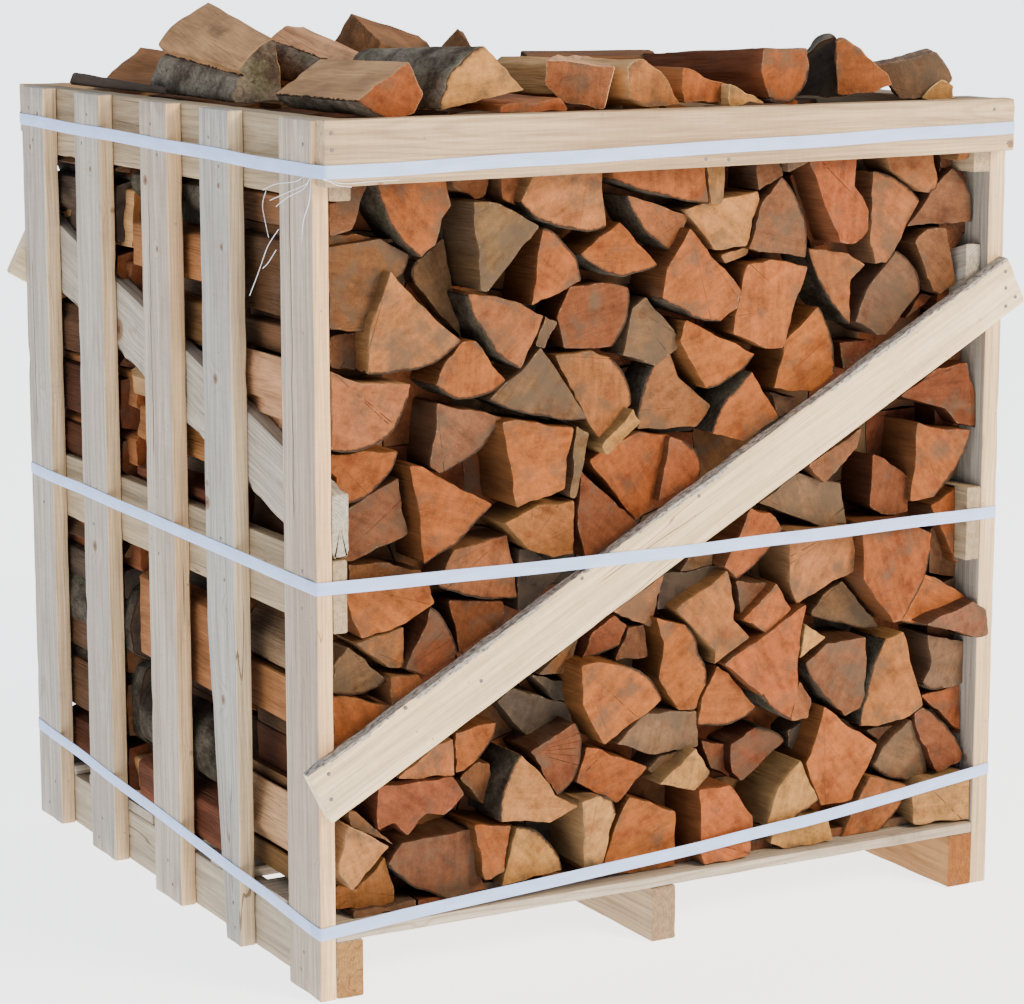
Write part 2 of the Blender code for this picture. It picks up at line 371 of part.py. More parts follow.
def add_front_plate(name, collection, finish_name, outline, y0, y1, half_turn):
    """A board with the outline (x, z), between two planes across Y; half_turn puts it at the back."""
    turn = -1 if half_turn else 1
    bm = bmesh.new()
    extrude_outline(bm, [(turn * x, turn * y0, z) for x, z in outline], (0, turn * (y1 - y0), 0))
    return add_object(name, bm, collection, finish_name)


# ---------------------------------------------------------------- the pallet
def build_pallet(collection):
    for side, (x0, x1) in STRINGER_SPANS.items():
        low = (x0, -HALF_DEPTH, 0)
        add_box(f"stringer_{side}", collection, "pine_board", low, (x1, HALF_DEPTH, STRINGER_HEIGHT))
    pitch = (2 * HALF_DEPTH - DECK_BOARD_WIDTH) / (DECK_BOARDS - 1)
    for index in range(DECK_BOARDS):
        y = -HALF_DEPTH + index * pitch
        low = (LEFT_WALL, y, STRINGER_HEIGHT + GAP)
        high = (RIGHT_WALL, y + DECK_BOARD_WIDTH, DECK_TOP)
        add_box(f"deck_board_{index + 1}", collection, "weathered_board", low, high)


# ---------------------------------------------------------------- the walls
def slat_outline(y0, y1, index):
    """(y, z) corners of a slat: one narrows towards its foot, the others are plain."""
    if index != TAPERED_SLAT:
        return [(y0, 0), (y1, 0), (y1, HEIGHT), (y0, HEIGHT)]
    return [(y0, 0), (y0 + TAPERED_FOOT, 0), (y1, TAPER_START), (y1, HEIGHT), (y0, HEIGHT)]


def diagonal_edges(line):
    """Slope of a slanting board, and its half height measured straight up."""
    (y0, z0), (y1, z1) = line
    slope = (z1 - z0) / (y1 - y0)
    return slope, DIAGONAL_WIDTH / 2 * math.hypot(1, slope)


def diagonal_outline(line, floor):
    """(y, z) corners of a slanting board whose low end is cut off level at floor."""
    (y0, z0), (y1, z1) = line
    slope, half = diagonal_edges(line)
    low, high = (0, 1) if slope > 0 else (1, 0)
    ends = ((y0, z0), (y1, z1))
    y_low, z_low = ends[low]
    y_high, z_high = ends[high]
    y_cut = y_low + (floor - (z_low - half)) / slope
    return [(y_low, floor), (y_cut, floor), (y_high, z_high - half), (y_high, z_high + half),
            (y_low, z_low + half)]


def build_walls(collection):
    for index, (y0, y1) in enumerate(SLAT_SPANS):
        outline = slat_outline(y0, y1, index)
        name = f"side_slat_left_{index + 1}"
        add_side_plate(name, collection, "pine_board", outline, -HALF_WIDTH, LEFT_WALL - GAP)
        turned = [(-y, z) for y, z in outline]
        name = f"side_slat_right_{index + 1}"
        add_side_plate(name, collection, "pine_board", turned, RIGHT_WALL + GAP, HALF_WIDTH)
    sides = (
        ("left", LEFT_WALL, LEFT_TOP_BOARD_FACE, LEFT_MID_RAIL, LEFT_MID_RAIL_FACE,
         LEFT_DIAGONAL, LEFT_DIAGONAL_FACE),
        ("right", RIGHT_WALL, RIGHT_TOP_BOARD_FACE, RIGHT_MID_RAIL, RIGHT_MID_RAIL_FACE,
         RIGHT_DIAGONAL, RIGHT_DIAGONAL_FACE),
    )
    for side, wall, top_face, mid, mid_face, diagonal, diagonal_face in sides:
        levels = (("side_top_board", SIDE_TOP_BOARD, top_face), ("side_mid_rail", mid, mid_face))
        for name, (z0, z1), face in levels:
            low = (min(wall, face), -HALF_DEPTH, z0)
            high = (max(wall, face), HALF_DEPTH, z1)
            add_box(f"{name}_{side}", collection, "pine_board", low, high)
        outline = diagonal_outline(diagonal, mid[1] + GAP)
        name = f"side_diagonal_{side}"
        add_side_plate(name, collection, "weathered_board", outline, wall, diagonal_face)


def build_front_and_back(collection):
    for side, half_turn in (("front", False), ("back", True)):
        place = (FRONT_PLANE, RAIL_FRONT, half_turn)
        add_front_plate(f"top_rail_{side}", collection, "pine_board", RAIL_OUTLINE, *place)
        place = (FRONT_PLANE, BRACE_FRONT, half_turn)
        add_front_plate(f"brace_{side}", collection, "pine_board", BRACE_OUTLINE, *place)


# ---------------------------------------------------------------- the straps
def mitre(stations, index, distance):
    """The station's (x, y) moved outwards, so that both its straight runs move by distance."""
    here = Vector(stations[index][:2])
    before = Vector(stations[index - 1][:2])
    after = Vector(stations[(index + 1) % len(stations)][:2])
    first = (here - before).normalized()
    second = (after - here).normalized()
    first, second = Vector((first.y, -first.x)), Vector((second.y, -second.x))
    return here + (first + second) * distance / (1 + first.dot(second))


def add_strap(name, collection, stations):
    """A closed band: a thin upright rectangle carried round the stations."""
    bm = bmesh.new()
    sections = []
    for index, (_, _, z) in enumerate(stations):
        inner = mitre(stations, index, GAP)
        outer = mitre(stations, index, GAP + STRAP_THICKNESS)
        corners = ((inner, z), (outer, z), (outer, z + STRAP_WIDTH), (inner, z + STRAP_WIDTH))
        sections.append([bm.verts.new((plan.x, plan.y, height)) for plan, height in corners])
    for index, section in enumerate(sections):
        following = sections[(index + 1) % len(sections)]
        for side in range(4):
            other = (side + 1) % 4
            bm.faces.new((section[side], section[other], following[other], following[side]))
    return add_object(name, bm, collection, "strap_plastic")


def build_straps(collection):
    add_strap("strap_top", collection, TOP_STRAP)
    add_strap("strap_middle", collection, MIDDLE_STRAP)
    add_strap("strap_bottom", collection, BOTTOM_STRAP)


# ---------------------------------------------------------------- the rows of firewood
def sight_shift(corners, recess):
    """True (x, z) of corners that line up with the front plane for the standing eye."""
    reach = 1 + recess / (-STANDING_EYE.y - HALF_DEPTH)
    eye_x, eye_z = STANDING_EYE.x, STANDING_EYE.z
    return [(eye_x + (x - eye_x) * reach, eye_z + (z - eye_z) * reach) for x, z in corners]


def with_bark_arc(corners, bark_edge, bulge):
    """The corners with the bark edge bowed outwards, as a parabola through three or four points."""
    if bark_edge is None or not bulge:
        return corners
    area = sum(a[0] * b[1] - b[0] * a[1] for a, b in zip(corners, corners[1:] + corners[:1]))
    start, end = Vector(corners[bark_edge]), Vector(corners[(bark_edge + 1) % len(corners)])
    along = end - start
    outward = Vector((along.y, -along.x)).normalized() * math.copysign(1, area)
    steps = 3 if bulge > DEEP_ARC else 2
    arc = []
    for step in range(1, steps):
        t = step / steps
        point = start + along * t + outward * 4 * bulge * t * (1 - t)
        arc.append((point.x, point.y))
    return corners[:bark_edge + 1] + arc + corners[bark_edge + 1:]


def diagonal_zone(line, y0, y1):
    """Lowest and highest z of a slanting board between two planes across Y."""
    (start_y, start_z), _ = line
    slope, half = diagonal_edges(line)
    heights = [start_z + slope * (y - start_y) for y in (y0, y1)]
    return min(heights) - half, max(heights) + half


def wall_limits(low, high, y0, y1):
    """How far left and right a billet between heights low and high may reach."""
    left_zones = ((SIDE_TOP_BOARD, LEFT_TOP_BOARD_FACE), (LEFT_MID_RAIL, LEFT_MID_RAIL_FACE),
                  (diagonal_zone(LEFT_DIAGONAL, y0, y1), LEFT_DIAGONAL_FACE))
    right_zones = ((SIDE_TOP_BOARD, RIGHT_TOP_BOARD_FACE), (RIGHT_MID_RAIL, RIGHT_MID_RAIL_FACE),
                   (diagonal_zone(RIGHT_DIAGONAL, y0, y1), RIGHT_DIAGONAL_FACE))
    met = [face for (z0, z1), face in left_zones if low < z1 + CLEAR and high > z0 - CLEAR]
    left = max([LEFT_WALL] + met)
    met = [face for (z0, z1), face in right_zones if low < z1 + CLEAR and high > z0 - CLEAR]
    right = min([RIGHT_WALL] + met)
    return left + CLEAR, right - CLEAR


def shrunk(corners):
    """The outline drawn in a little round its middle, so that neighbours don't share an edge."""
    middle_x = sum(x for x, _ in corners) / len(corners)
    middle_z = sum(z for _, z in corners) / len(corners)
    return [(middle_x + (x - middle_x) * SHRINK, middle_z + (z - middle_z) * SHRINK) for x, z in corners]


def row_ends(kind):
    """Each billet end of one row: its outline in metres, its set-back, and whether it borders the row."""
    turned_height = DECK_TOP + GAP + ROW_TOP
    for recess, bark_edge, bulge, corners in ROW:
        recess *= CM
        outline = [(x * CM, z * CM) for x, z in corners]
        if kind == "front":
            outline = sight_shift(with_bark_arc(outline, bark_edge, bulge * CM), recess)
        elif kind == "middle":
            outline = shrunk([(-x, z) for x, z in outline])
        else:
            outline = shrunk([(-x, turned_height - z) for x, z in outline])
        recess = recess if kind == "front" else max(recess, LEAST_BACK_RECESS)
        across = [x for x, _ in outline]
        border = min(across) < -SIDE_BAND or max(across) > SIDE_BAND or max(z for _, z in outline) > CORE_TOP
        if kind != "middle" or border:
            yield outline, recess, border


def add_row(kind, collection, cutters):
    """One row of billets, fused: a core with every billet end that shows standing out of it."""
    y0 = ROW_FRONTS[kind]
    y1 = y0 + BILLET_LENGTH
    turn = -1 if kind == "back" else 1
    if kind == "back":
        y0, y1 = y1, y0
    shows_ends = kind != "middle"
    core_start = y0 + turn * CORE_SETBACK if shows_ends else y0
    bm = bmesh.new()
    floor = DECK_TOP + GAP
    for index, (outline, recess, border) in enumerate(row_ends(kind)):
        stagger = STAGGER * (1 + index % STAGGER_CYCLE)
        start = y0 + turn * (recess + stagger if shows_ends else stagger)
        end = y1 - turn * stagger if border else core_start + turn * (ANCHOR + stagger)
        low, high = min(z for _, z in outline), max(z for _, z in outline)
        left, right = wall_limits(low, high, min(start, end), max(start, end))
        left, right, top = left + stagger, right - stagger, ROW_TOP - stagger
        kept = []
        for x, z in outline:
            point = (min(max(x, left), right), start, min(max(z, floor + stagger), top))
            if not kept or (Vector(point) - Vector(kept[-1])).length > CLEAR:
                kept.append(point)
        extrude_outline(bm, kept, (0, end - start, 0))
    name = f"firewood_row_{kind}"
    ends = add_object(f"{name}_billets", bm, cutters, "split_wood")
    ends.hide_render = True
    ends.display_type = "WIRE"
    low = (CORE_LEFT, min(core_start, y1), floor)
    core = add_box(name, collection, "split_wood", low, (CORE_RIGHT, max(core_start, y1), CORE_TOP))
    fuse = core.modifiers.new("billets", "BOOLEAN")
    fuse.operation = "UNION"
    fuse.solver = "EXACT"
    fuse.use_self = True
    fuse.object = ends
    flatten = core.modifiers.new("flat_faces", "DECIMATE")
    flatten.decimate_type = "DISSOLVE"
    flatten.angle_limit = math.radians(0.5)
    return core


# ---------------------------------------------------------------- the loose billets
def loose_corners(x, y, length, yaw, pitch, far_scale, corners):
    """Near and far corners of a loose billet, in metres."""
    across = sum(a for a, _ in corners) / len(corners)
    height = sum(z for _, z in corners) / len(corners)
    side = Vector((math.cos(math.radians(yaw)), -math.sin(math.radians(yaw)), 0))
    level = Vector((math.sin(math.radians(yaw)), math.cos(math.radians(yaw)), 0))
    along = level * length * math.cos(math.radians(pitch))
    along.z = length * math.sin(math.radians(pitch))
    foot = Vector((x, y, 0))
    near = [foot + side * a + Vector((0, 0, z)) for a, z in corners]
    far = [foot + side * (across + (a - across) * far_scale) + along
           + Vector((0, 0, height + (z - height) * far_scale)) for a, z in corners]
    return [point * CM for point in near], [point * CM for point in far]


def add_loft(name, collection, near, far):
    """A closed solid between two unlike ends with the same number of corners."""
    bm = bmesh.new()
    first = [bm.verts.new(point) for point in near]
    last = [bm.verts.new(point) for point in far]
    bm.faces.new(first)
    bm.faces.new(last)
    for index in range(len(first)):
        other = (index + 1) % len(first)
        bm.faces.new((first[index], first[other], last[other], last[index]))
    return add_object(name, bm, collection, "split_wood")


def box_of(points):
    """Lowest and highest corner of some points."""
    return [[pick(point[axis] for point in points) for axis in range(3)] for pick in (min, max)]


def boxes_meet(one, other):
    """Whether two boxes share any space."""
    return all(one[0][axis] < other[1][axis] and other[0][axis] < one[1][axis] for axis in range(3))


def build_loose_billets(collection, cutters):
    """The loose billets; each is notched where an earlier one lies against it."""
    laid = []
    for index, values in enumerate(LOOSE, start=1):
        near, far = loose_corners(*values)
        billet = add_loft(f"loose_billet_{index}", collection, near, far)
        box = box_of(near + far)
        for other_box, cutter in laid:
            if boxes_meet(box, other_box):
                notch = billet.modifiers.new("notch", "BOOLEAN")
                notch.operation = "DIFFERENCE"
                notch.solver = "EXACT"
                notch.object = cutter
        centre = (Vector(box[0]) + Vector(box[1])) / 2
        swollen = [[centre + (point - centre) * NOTCH_SCALE for point in end] for end in (near, far)]
        cutter = add_loft(f"loose_billet_{index}_notch", cutters, *swollen)
        cutter.hide_render = True
        cutter.display_type = "WIRE"
        laid.append((box_of(swollen[0] + swollen[1]), cutter))


def main():
    for old in list(bpy.data.objects):
        bpy.data.objects.remove(old)
    scene = bpy.context.scene
    crate = bpy.data.collections.new("firewood_crate")
    cutters = bpy.data.collections.new("firewood_crate_cutters")
    scene.collection.children.link(crate)
    scene.collection.children.link(cutters)
    build_pallet(crate)
    build_walls(crate)
    build_front_and_back(crate)
    build_straps(crate)
    for kind in ROW_FRONTS:
        add_row(kind, crate, cutters)
    build_loose_billets(crate, cutters)


main()
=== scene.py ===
"""Looks of a one-metre crate of stacked firewood on a slatted pallet.

Metres, +Z up, the origin on the ground under the middle of the crate. +X runs to the right
along the front, which is the side at -Y. Every piece is a numpy surface that stands in for a
node of the frame, and every finish is a node material that reads the piece's own attributes:
"grain" holds the place within a board or billet (two across, one along), and the tints hold
its colours.
"""

import logging
import math
from dataclasses import dataclass, field, replace
from enum import Enum, IntEnum
from functools import cache, partial, reduce
from typing import ClassVar

import bpy
import numpy as np
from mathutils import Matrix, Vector


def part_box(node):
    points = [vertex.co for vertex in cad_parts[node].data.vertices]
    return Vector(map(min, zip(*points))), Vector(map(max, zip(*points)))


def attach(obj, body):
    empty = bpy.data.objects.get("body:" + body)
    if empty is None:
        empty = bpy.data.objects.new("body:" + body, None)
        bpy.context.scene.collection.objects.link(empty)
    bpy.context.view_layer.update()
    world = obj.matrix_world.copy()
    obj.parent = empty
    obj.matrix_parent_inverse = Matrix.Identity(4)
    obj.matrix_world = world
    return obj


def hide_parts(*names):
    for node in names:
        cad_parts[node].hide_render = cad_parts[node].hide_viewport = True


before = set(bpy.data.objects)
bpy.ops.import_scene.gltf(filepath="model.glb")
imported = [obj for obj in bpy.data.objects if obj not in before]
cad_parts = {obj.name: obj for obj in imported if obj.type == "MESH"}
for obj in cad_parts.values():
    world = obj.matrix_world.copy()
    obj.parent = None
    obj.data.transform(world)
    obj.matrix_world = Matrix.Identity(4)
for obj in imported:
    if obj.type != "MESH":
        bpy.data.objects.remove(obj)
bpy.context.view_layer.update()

LOG = logging.getLogger("firewood_crate")
Socket = bpy.types.NodeSocket
Material = bpy.types.Material
Colour = tuple[float, float, float]
Amount = Socket | float
Paint = Socket | Colour


@cache
def span_of(node: str, axis: str) -> tuple[float, float]:
    """Where a node's box starts and ends along an axis, to a tenth of a millimetre."""
    return tuple(round(getattr(corner, axis), 4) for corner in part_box(node))


# ---------------------------------------------------------------- shared measures
CM = 0.01
MM = 0.001
TAU = math.tau
UP = np.array([0.0, 0.0, 1.0])
WHITE: Colour = (1.0, 1.0, 1.0)

GAP = 0.3 * MM
LEFT_WALL = span_of("side_slat_left_1", "x")[1] + GAP
RIGHT_WALL = span_of("side_slat_right_1", "x")[0] - GAP
SLATS_FRONT = span_of("side_slat_left_5", "y")[0]
FRONT_PLANE = SLATS_FRONT - GAP
ROW_TOP = 1.100
BILLET_LENGTH = 0.330
DECK_TOP = span_of("deck_board_1", "z")[1]
DIAGONAL_WIDTH = 0.098
LEFT_DIAGONAL = ((-0.500, 0.600), (0.500, 0.884))
RIGHT_DIAGONAL = ((-0.485, 0.862), (0.500, 0.600))
RAIL_FRONT = span_of("top_rail_front", "y")[0]
BRACE_FRONT = span_of("brace_front", "y")[0]
# Corners (x, z) of the front's two boards: lower left and right, then upper left and right.
RAIL_OUTLINE = ((-0.520, 1.031), (0.517, 1.041), (-0.520, 1.112), (0.517, 1.112))
BRACE_OUTLINE = ((-0.516, 0.2385), (0.549, 0.8325), (-0.549, 0.306), (0.517, 0.8965))
# ROW gives each corner where it lines up with the front plane for somebody who stands at this
# point, so an end that is set back keeps its place in that view.
EYE = np.array([-2.118, -3.855, 1.329])
# Each side wall: its name, which way it looks along x, its inner plane and its slanting board.
SIDES = (("left", -1, LEFT_WALL, LEFT_DIAGONAL), ("right", 1, RIGHT_WALL, RIGHT_DIAGONAL))

# The billet ends of the front row, in centimetres: how far the end is set back, its timber, the
# edge that is bark (it starts at that corner) and how far the bark bulges, then the corners (x, z).
ROW = [
    # under the top rail, left to right
    (4, "b", (), (-47, 109.5), (-43, 108), (-43.6, 105), (-47.2, 97.6), (-50.1, 97), (-50.1, 100.9),
     (-47.1, 101)),
    (1.5, "o", (0, 1.3), (-43.8, 104.5), (-37.7, 93.7), (-35.6, 95.2), (-34.8, 98.6), (-33.4, 100),
     (-35.5, 108.5), (-42, 109.5)),
    (4.5, "t", (), (-34.5, 109), (-28, 108), (-27.4, 104.5), (-28.4, 101), (-29.8, 100.5), (-33, 102.2)),
    (3, "t", (2, 0.4), (-27, 108.5), (-20.5, 109.5), (-19.9, 103.5), (-23.7, 99.4), (-26.2, 100.6)),
    (1, "t", (4, 1.7), (-21.5, 104.5), (-19, 109), (-12.5, 109.8), (-11.5, 105.5), (-10.4, 96.2),
     (-23.6, 99.9)),
    (1.5, "o", (4, 0.5), (-10.8, 105.5), (-8.5, 109.5), (2, 109), (3.6, 105), (4.3, 98.7), (-9.6, 102.2)),
    (2, "y", (), (3.2, 109), (8, 109.5), (7.2, 105), (6.9, 101.5), (6.3, 98.6), (4.7, 98.6)),
    (2, "b", (), (9.5, 108.5), (15, 109.5), (15.6, 105), (16, 101.9), (12, 100), (11.8, 105)),
    (0.5, "o", (), (20.4, 103), (19.5, 107.5), (24, 109.6), (29.5, 108.5), (28.2, 105), (27.7, 100),
     (30, 96.6), (30, 94), (27.6, 92.3), (25.2, 92.5), (24, 95)),
    (3, "t", (4, 0.5), (31, 107.5), (34, 109.6), (39.8, 109), (40.2, 105), (41, 100.3), (39.8, 98.7),
     (38.3, 98.9), (33.5, 101.9)),
    (4.5, "b", (), (40.8, 109), (44.5, 108.5), (44, 104), (42.6, 101.8), (41.4, 101.9), (40.8, 105)),
    (1, "g", (), (15.8, 107.5), (19.6, 107), (20, 103.5), (16.6, 102.3)),
    (0.5, "t", (), (44.4, 108), (46.4, 107.5), (46.5, 103), (44.6, 102.8)),
    # second tier
    (3, "b", (2, 1), (-50.2, 95.6), (-43, 96.4), (-39.2, 94.2), (-42.3, 91.2), (-45.3, 85), (-50.2, 85.6)),
    (5, "b", (), (-50.2, 97.2), (-46, 96.9), (-40.5, 96), (-43, 95.9), (-50.2, 95.7)),
    (0.5, "t", (2, 1.4), (-41.6, 92.3), (-38, 88.2), (-32, 83), (-44.8, 79.6), (-44.4, 85.3)),
    (5, "b", (), (-50.2, 84.6), (-45, 85.4), (-45, 79.8), (-50.2, 81)),
    (6.5, "g", (3, 0.6), (-34.1, 96), (-32.6, 87.3), (-32, 83.2), (-38.4, 90.6), (-37.9, 93.4)),
    (0, "g", (), (-30, 100.4), (-26.5, 100), (-20.9, 96.9), (-28.1, 88.9), (-29, 89.1), (-29.9, 97.4)),
    (1.5, "o", (0, 1.4), (-20.4, 96.7), (-14.3, 89.6), (-22, 86.9)),
    (1.5, "o", (1, 1.9), (-8.9, 96.9), (-3.1, 91), (-15, 93)),
    (3, "t", (2, 1.3), (-8.2, 100.3), (1.5, 97.2), (-0.7, 92.6)),
    (2, "y", (), (1, 98), (6.5, 99.2), (12.2, 100), (12.4, 98.8), (10.3, 92.9), (5.4, 92.6)),
    (3.5, "y", (), (6.3, 92), (10.9, 92.9), (10.6, 91.8), (7, 90.7)),
    (1.5, "b", (0, 1.6), (15.9, 101.8), (20.3, 90.8), (10.5, 92.5), (12.6, 98.4)),
    (6, "r", (), (16.9, 101.9), (21, 102), (24, 96.4), (24.2, 92.4), (21, 92)),
    (3.5, "t", (0, 0.8), (30.3, 102), (38.7, 97.7), (36, 93.6), (33.4, 89.4), (31.2, 89.4), (30.1, 92.2)),
    (3, "b", (0, 1.2), (43.5, 102), (47.3, 94.4), (36.5, 94.2), (40.4, 99.2)),
    (3, "b", (), (37.6, 92.2), (39.5, 93.7), (42.8, 93.8), (44.6, 86.2), (42, 84.7), (40.8, 85.2)),
    # third tier
    (1, "t", (3, 1.3), (-31.1, 88.8), (-26.8, 88.4), (-20, 85.5), (-23.6, 78.9)),
    (3, "r", (2, 0.9), (-16.3, 89), (-11.7, 89.3), (-7.7, 88.4), (-9.8, 80.8), (-16.7, 81), (-18, 85.1)),
    (3.5, "g", (), (-20, 85.6), (-18.2, 84.6), (-20, 81.2), (-21.4, 81.8)),
    (3.5, "g", (), (-5, 87.1), (-2.4, 84.4), (0.3, 80.4), (-3.5, 78), (-8.5, 79.6), (-7, 85.8)),
    (1, "o", (3, 0.6), (1.5, 95.7), (10, 87), (9.5, 84.7), (6.7, 83.1), (-2.6, 86.6), (-2, 90.5)),
    (1, "o", (), (10.8, 90.4), (14.3, 90.9), (20, 89.7), (18.2, 84.7), (16.8, 79), (13.9, 79.1), (9.1, 81.3),
     (9.9, 86)),
    (2.5, "t", (4, 1.1), (20, 92.1), (26.5, 91.2), (29.5, 89.5), (27.1, 87.5), (27.2, 81.4)),
    (3, "g", (0, 1), (35, 91.1), (38.7, 85.4), (33, 79.8), (31.5, 79.7), (28, 81.8), (30.4, 86.6)),
    (5, "r", (), (25.4, 79.2), (30, 79.2), (31.6, 78.5), (26.2, 75.5)),
    (5, "r", (), (36, 81.8), (38.8, 85), (41.5, 84.7)),
    # fourth tier
    (1.5, "t", (3, 2.9), (-50.2, 80.5), (-46, 78.6), (-39, 78.1), (-39.3, 76.6), (-50.2, 70.6)),
    (2, "o", (2, 2.2), (-31.8, 83.1), (-30, 83), (-25.7, 77.6), (-35.6, 77.6), (-34.4, 80.5)),
    (1.5, "g", (1, 1), (-20.4, 81.5), (-13.7, 71.8), (-28, 75.3), (-23.1, 78.8)),
    (3.5, "t", (2, 0.7), (-18.4, 80.3), (-12.8, 80.6), (-10.2, 79.6), (-7, 73.3), (-11.9, 69),
     (-13.6, 71.3)),
    (3.5, "t", (5, 0.8), (-3.5, 78), (-1, 79.4), (0.2, 76.2), (5, 72.2), (2.8, 69.5), (-6, 69.8)),
    (2, "o", (2, 0.8), (0.2, 81), (1.3, 83.7), (12.6, 78.4), (4.3, 74.4)),
    (1, "o", (3, 0.8), (11.5, 76.3), (15.8, 69.8), (10.8, 66.8), (5.4, 68.4)),
    (2, "o", (0, 0.7), (22, 84.3), (24.8, 75.2), (21.3, 72.8), (14.8, 73.7), (16.6, 80)),
    (4.5, "g", (), (14.2, 73.3), (18.8, 72.3), (18.6, 71.2), (15.8, 69.9)),
    (5, "b", (), (42, 74.8), (48.3, 78.3), (49.2, 77), (47.3, 75.2)),
    (1.5, "r", (), (42.4, 74.6), (47.2, 75), (48.5, 70.7), (50, 65.9), (45.5, 66.6), (43.5, 68.8),
     (36.3, 71)),
    # fifth tier
    (3, "o", (1, 1.6), (-50.2, 70.2), (-41, 69.9), (-47.8, 63.8), (-50.2, 64.2)),
    (3, "b", (1, 1), (-35.5, 75.5), (-26.1, 73), (-35.2, 66.4), (-36.6, 67.5)),
    (1.5, "o", (2, 0.4), (-39, 67.7), (-37.2, 67.5), (-27.4, 61.8), (-37.5, 55.1), (-38, 62)),
    (4, "b", (), (-47.6, 63.3), (-41, 66.6), (-39.8, 59.2), (-47.2, 56.4), (-49, 56.8)),
    (0.5, "o", (), (-25.9, 72.2), (-23.9, 72.4), (-15.4, 70.7), (-17, 62.9), (-24.2, 61.2)),
    (2, "g", (), (-15, 71), (-13, 69.9), (-15.5, 61.6), (-16.4, 62)),
    (2, "t", (), (-26, 59.4), (-21, 61.3), (-15.6, 61.3), (-15.4, 54.2), (-18.5, 54), (-22.4, 55.6)),
    (2.5, "r", (), (-14.8, 65.4), (-12.5, 63), (-6, 57.4), (-12, 53.5), (-13.8, 53.5), (-15.1, 58)),
    (1.5, "y", (), (-6.9, 72.7), (-5.6, 70.9), (-10.7, 66.8), (-11.5, 68.1)),
    (3.5, "o", (), (-13.5, 66.4), (-9.5, 68.3), (-6, 69.5), (-1, 68.7), (-1.6, 65.6), (-3, 59.4),
     (-5.8, 57.6)),
    (2.5, "o", (1, 1.1), (-1, 68.6), (0.8, 67.9), (3.4, 62.7), (-2.8, 59.9)),
    (2, "b", (), (29.3, 67.3), (28.7, 64.8), (23.5, 60.2), (20.8, 62.9)),
    (3, "g", (), (19.5, 61.9), (26.1, 60), (27.2, 54.3), (23, 54.3), (13.2, 58.3)),
    (2.5, "r", (), (31.5, 63.4), (33.5, 62.8), (38, 59.5), (37.4, 55), (33, 55.1), (30.9, 56.3)),
    (1, "o", (2, 0.9), (39.1, 67.3), (43.5, 66), (47.8, 65.6), (42, 56.6), (38.2, 56.3)),
    # level with the middle strap
    (3.5, "t", (2, 0.6), (-33, 56.5), (-25.2, 57.7), (-24.1, 49.4), (-35.5, 52)),
    (4.5, "b", (), (-48, 56.1), (-43, 55.9), (-37.8, 54.4), (-38, 53.7), (-48, 53.8)),
    (2.5, "o", (), (-48.2, 53.6), (-37.3, 53.6), (-35.9, 50), (-39.8, 47.6), (-45.8, 46.2), (-47.2, 48.8)),
    (4, "d", (), (-23.9, 55.8), (-22.4, 55.7), (-17, 52.5), (-21, 48.6), (-23.9, 47.6)),
    (2, "o", (2, 0.5), (12, 57.8), (15.2, 56.8), (17.2, 54.4), (9.5, 48.4), (7.4, 50.3)),
    (1.5, "t", (), (17.8, 54), (28.3, 54), (29.6, 50), (29.6, 47.3), (25.8, 46.2), (19.8, 43.6), (18.3, 47)),
    (0.5, "o", (3, 0.7), (29.8, 54), (37, 54.2), (42.2, 51.5), (42, 49), (36.9, 39.8), (35.4, 39.5),
     (30.2, 46.2)),
    (2.5, "o", (2, 0.4), (41.3, 55.5), (45.7, 57.8), (47.2, 57.4), (49.2, 50), (46.1, 46.8)),
    (5, "g", (), (2, 52.4), (5.8, 52.6), (5.5, 50.6), (0.5, 50.3)),
    (4.5, "d", (), (-2, 50.2), (7.4, 50.6), (8, 49.8), (0.5, 45), (-2.8, 45.4)),
    # sixth tier
    (3.5, "t", (), (-47.2, 46), (-40.2, 47.3), (-40.2, 42.1), (-42.5, 42.3)),
    (4.5, "g", (2, 1), (-50.2, 43.5), (-48.3, 45.8), (-42.8, 40.8), (-50.2, 39.9)),
    (2.5, "r", (0, 0.7), (-36.6, 49.6), (-32.5, 42.9), (-36.6, 40.6), (-40, 41.9), (-38, 46)),
    (3.5, "r", (), (-33.7, 50), (-26.1, 49.2), (-26.1, 46.2), (-32.4, 43)),
    (3, "t", (), (-42.4, 41.1), (-38.5, 41.1), (-36.8, 39.4), (-42.2, 37.2)),
    (3.5, "o", (), (-50.2, 39.3), (-46.5, 38.8), (-42, 37), (-50.2, 32.8)),
    (3.5, "t", (), (-9.5, 45.9), (-2, 50.3), (-3.6, 43.2)),
    (4, "r", (3, 0.3), (-12.8, 43.8), (-9.5, 45.6), (-7.4, 44), (-8.7, 41.4), (-14.6, 40.3)),
    (4.5, "b", (), (-7.4, 43.6), (-4.7, 43.8), (-4.2, 39.3), (-9.5, 39.5)),
    (5, "b", (), (-21, 39), (-14.8, 43.4), (-16.2, 38.3)),
    (2, "o", (1, 0.8), (-3, 44.5), (1.5, 43), (5, 34.5), (3.6, 31.2), (1, 31.3), (-2.2, 36), (-1.6, 41)),
    (1.5, "t", (), (8.2, 49.7), (9.4, 44.7), (9.1, 42.9), (11.7, 40.2), (6, 37.1), (6.4, 38.8), (3.2, 42.1),
     (0.2, 45.2)),
    (3, "b", (), (9.2, 48.2), (15.4, 47.4), (12.9, 44.7), (10.2, 43.1)),
    (1.5, "o", (), (15.8, 47.3), (18.4, 43.4), (14.3, 40.4), (10.4, 42.8), (13, 44.6)),
    (4, "g", (2, 0.5), (24, 44.5), (27.2, 46.3), (33, 39.2), (22, 42)),
    (2.5, "o", (2, 1.9), (40.9, 45.8), (43.5, 44.8), (48.8, 41.6), (36.5, 39.6)),
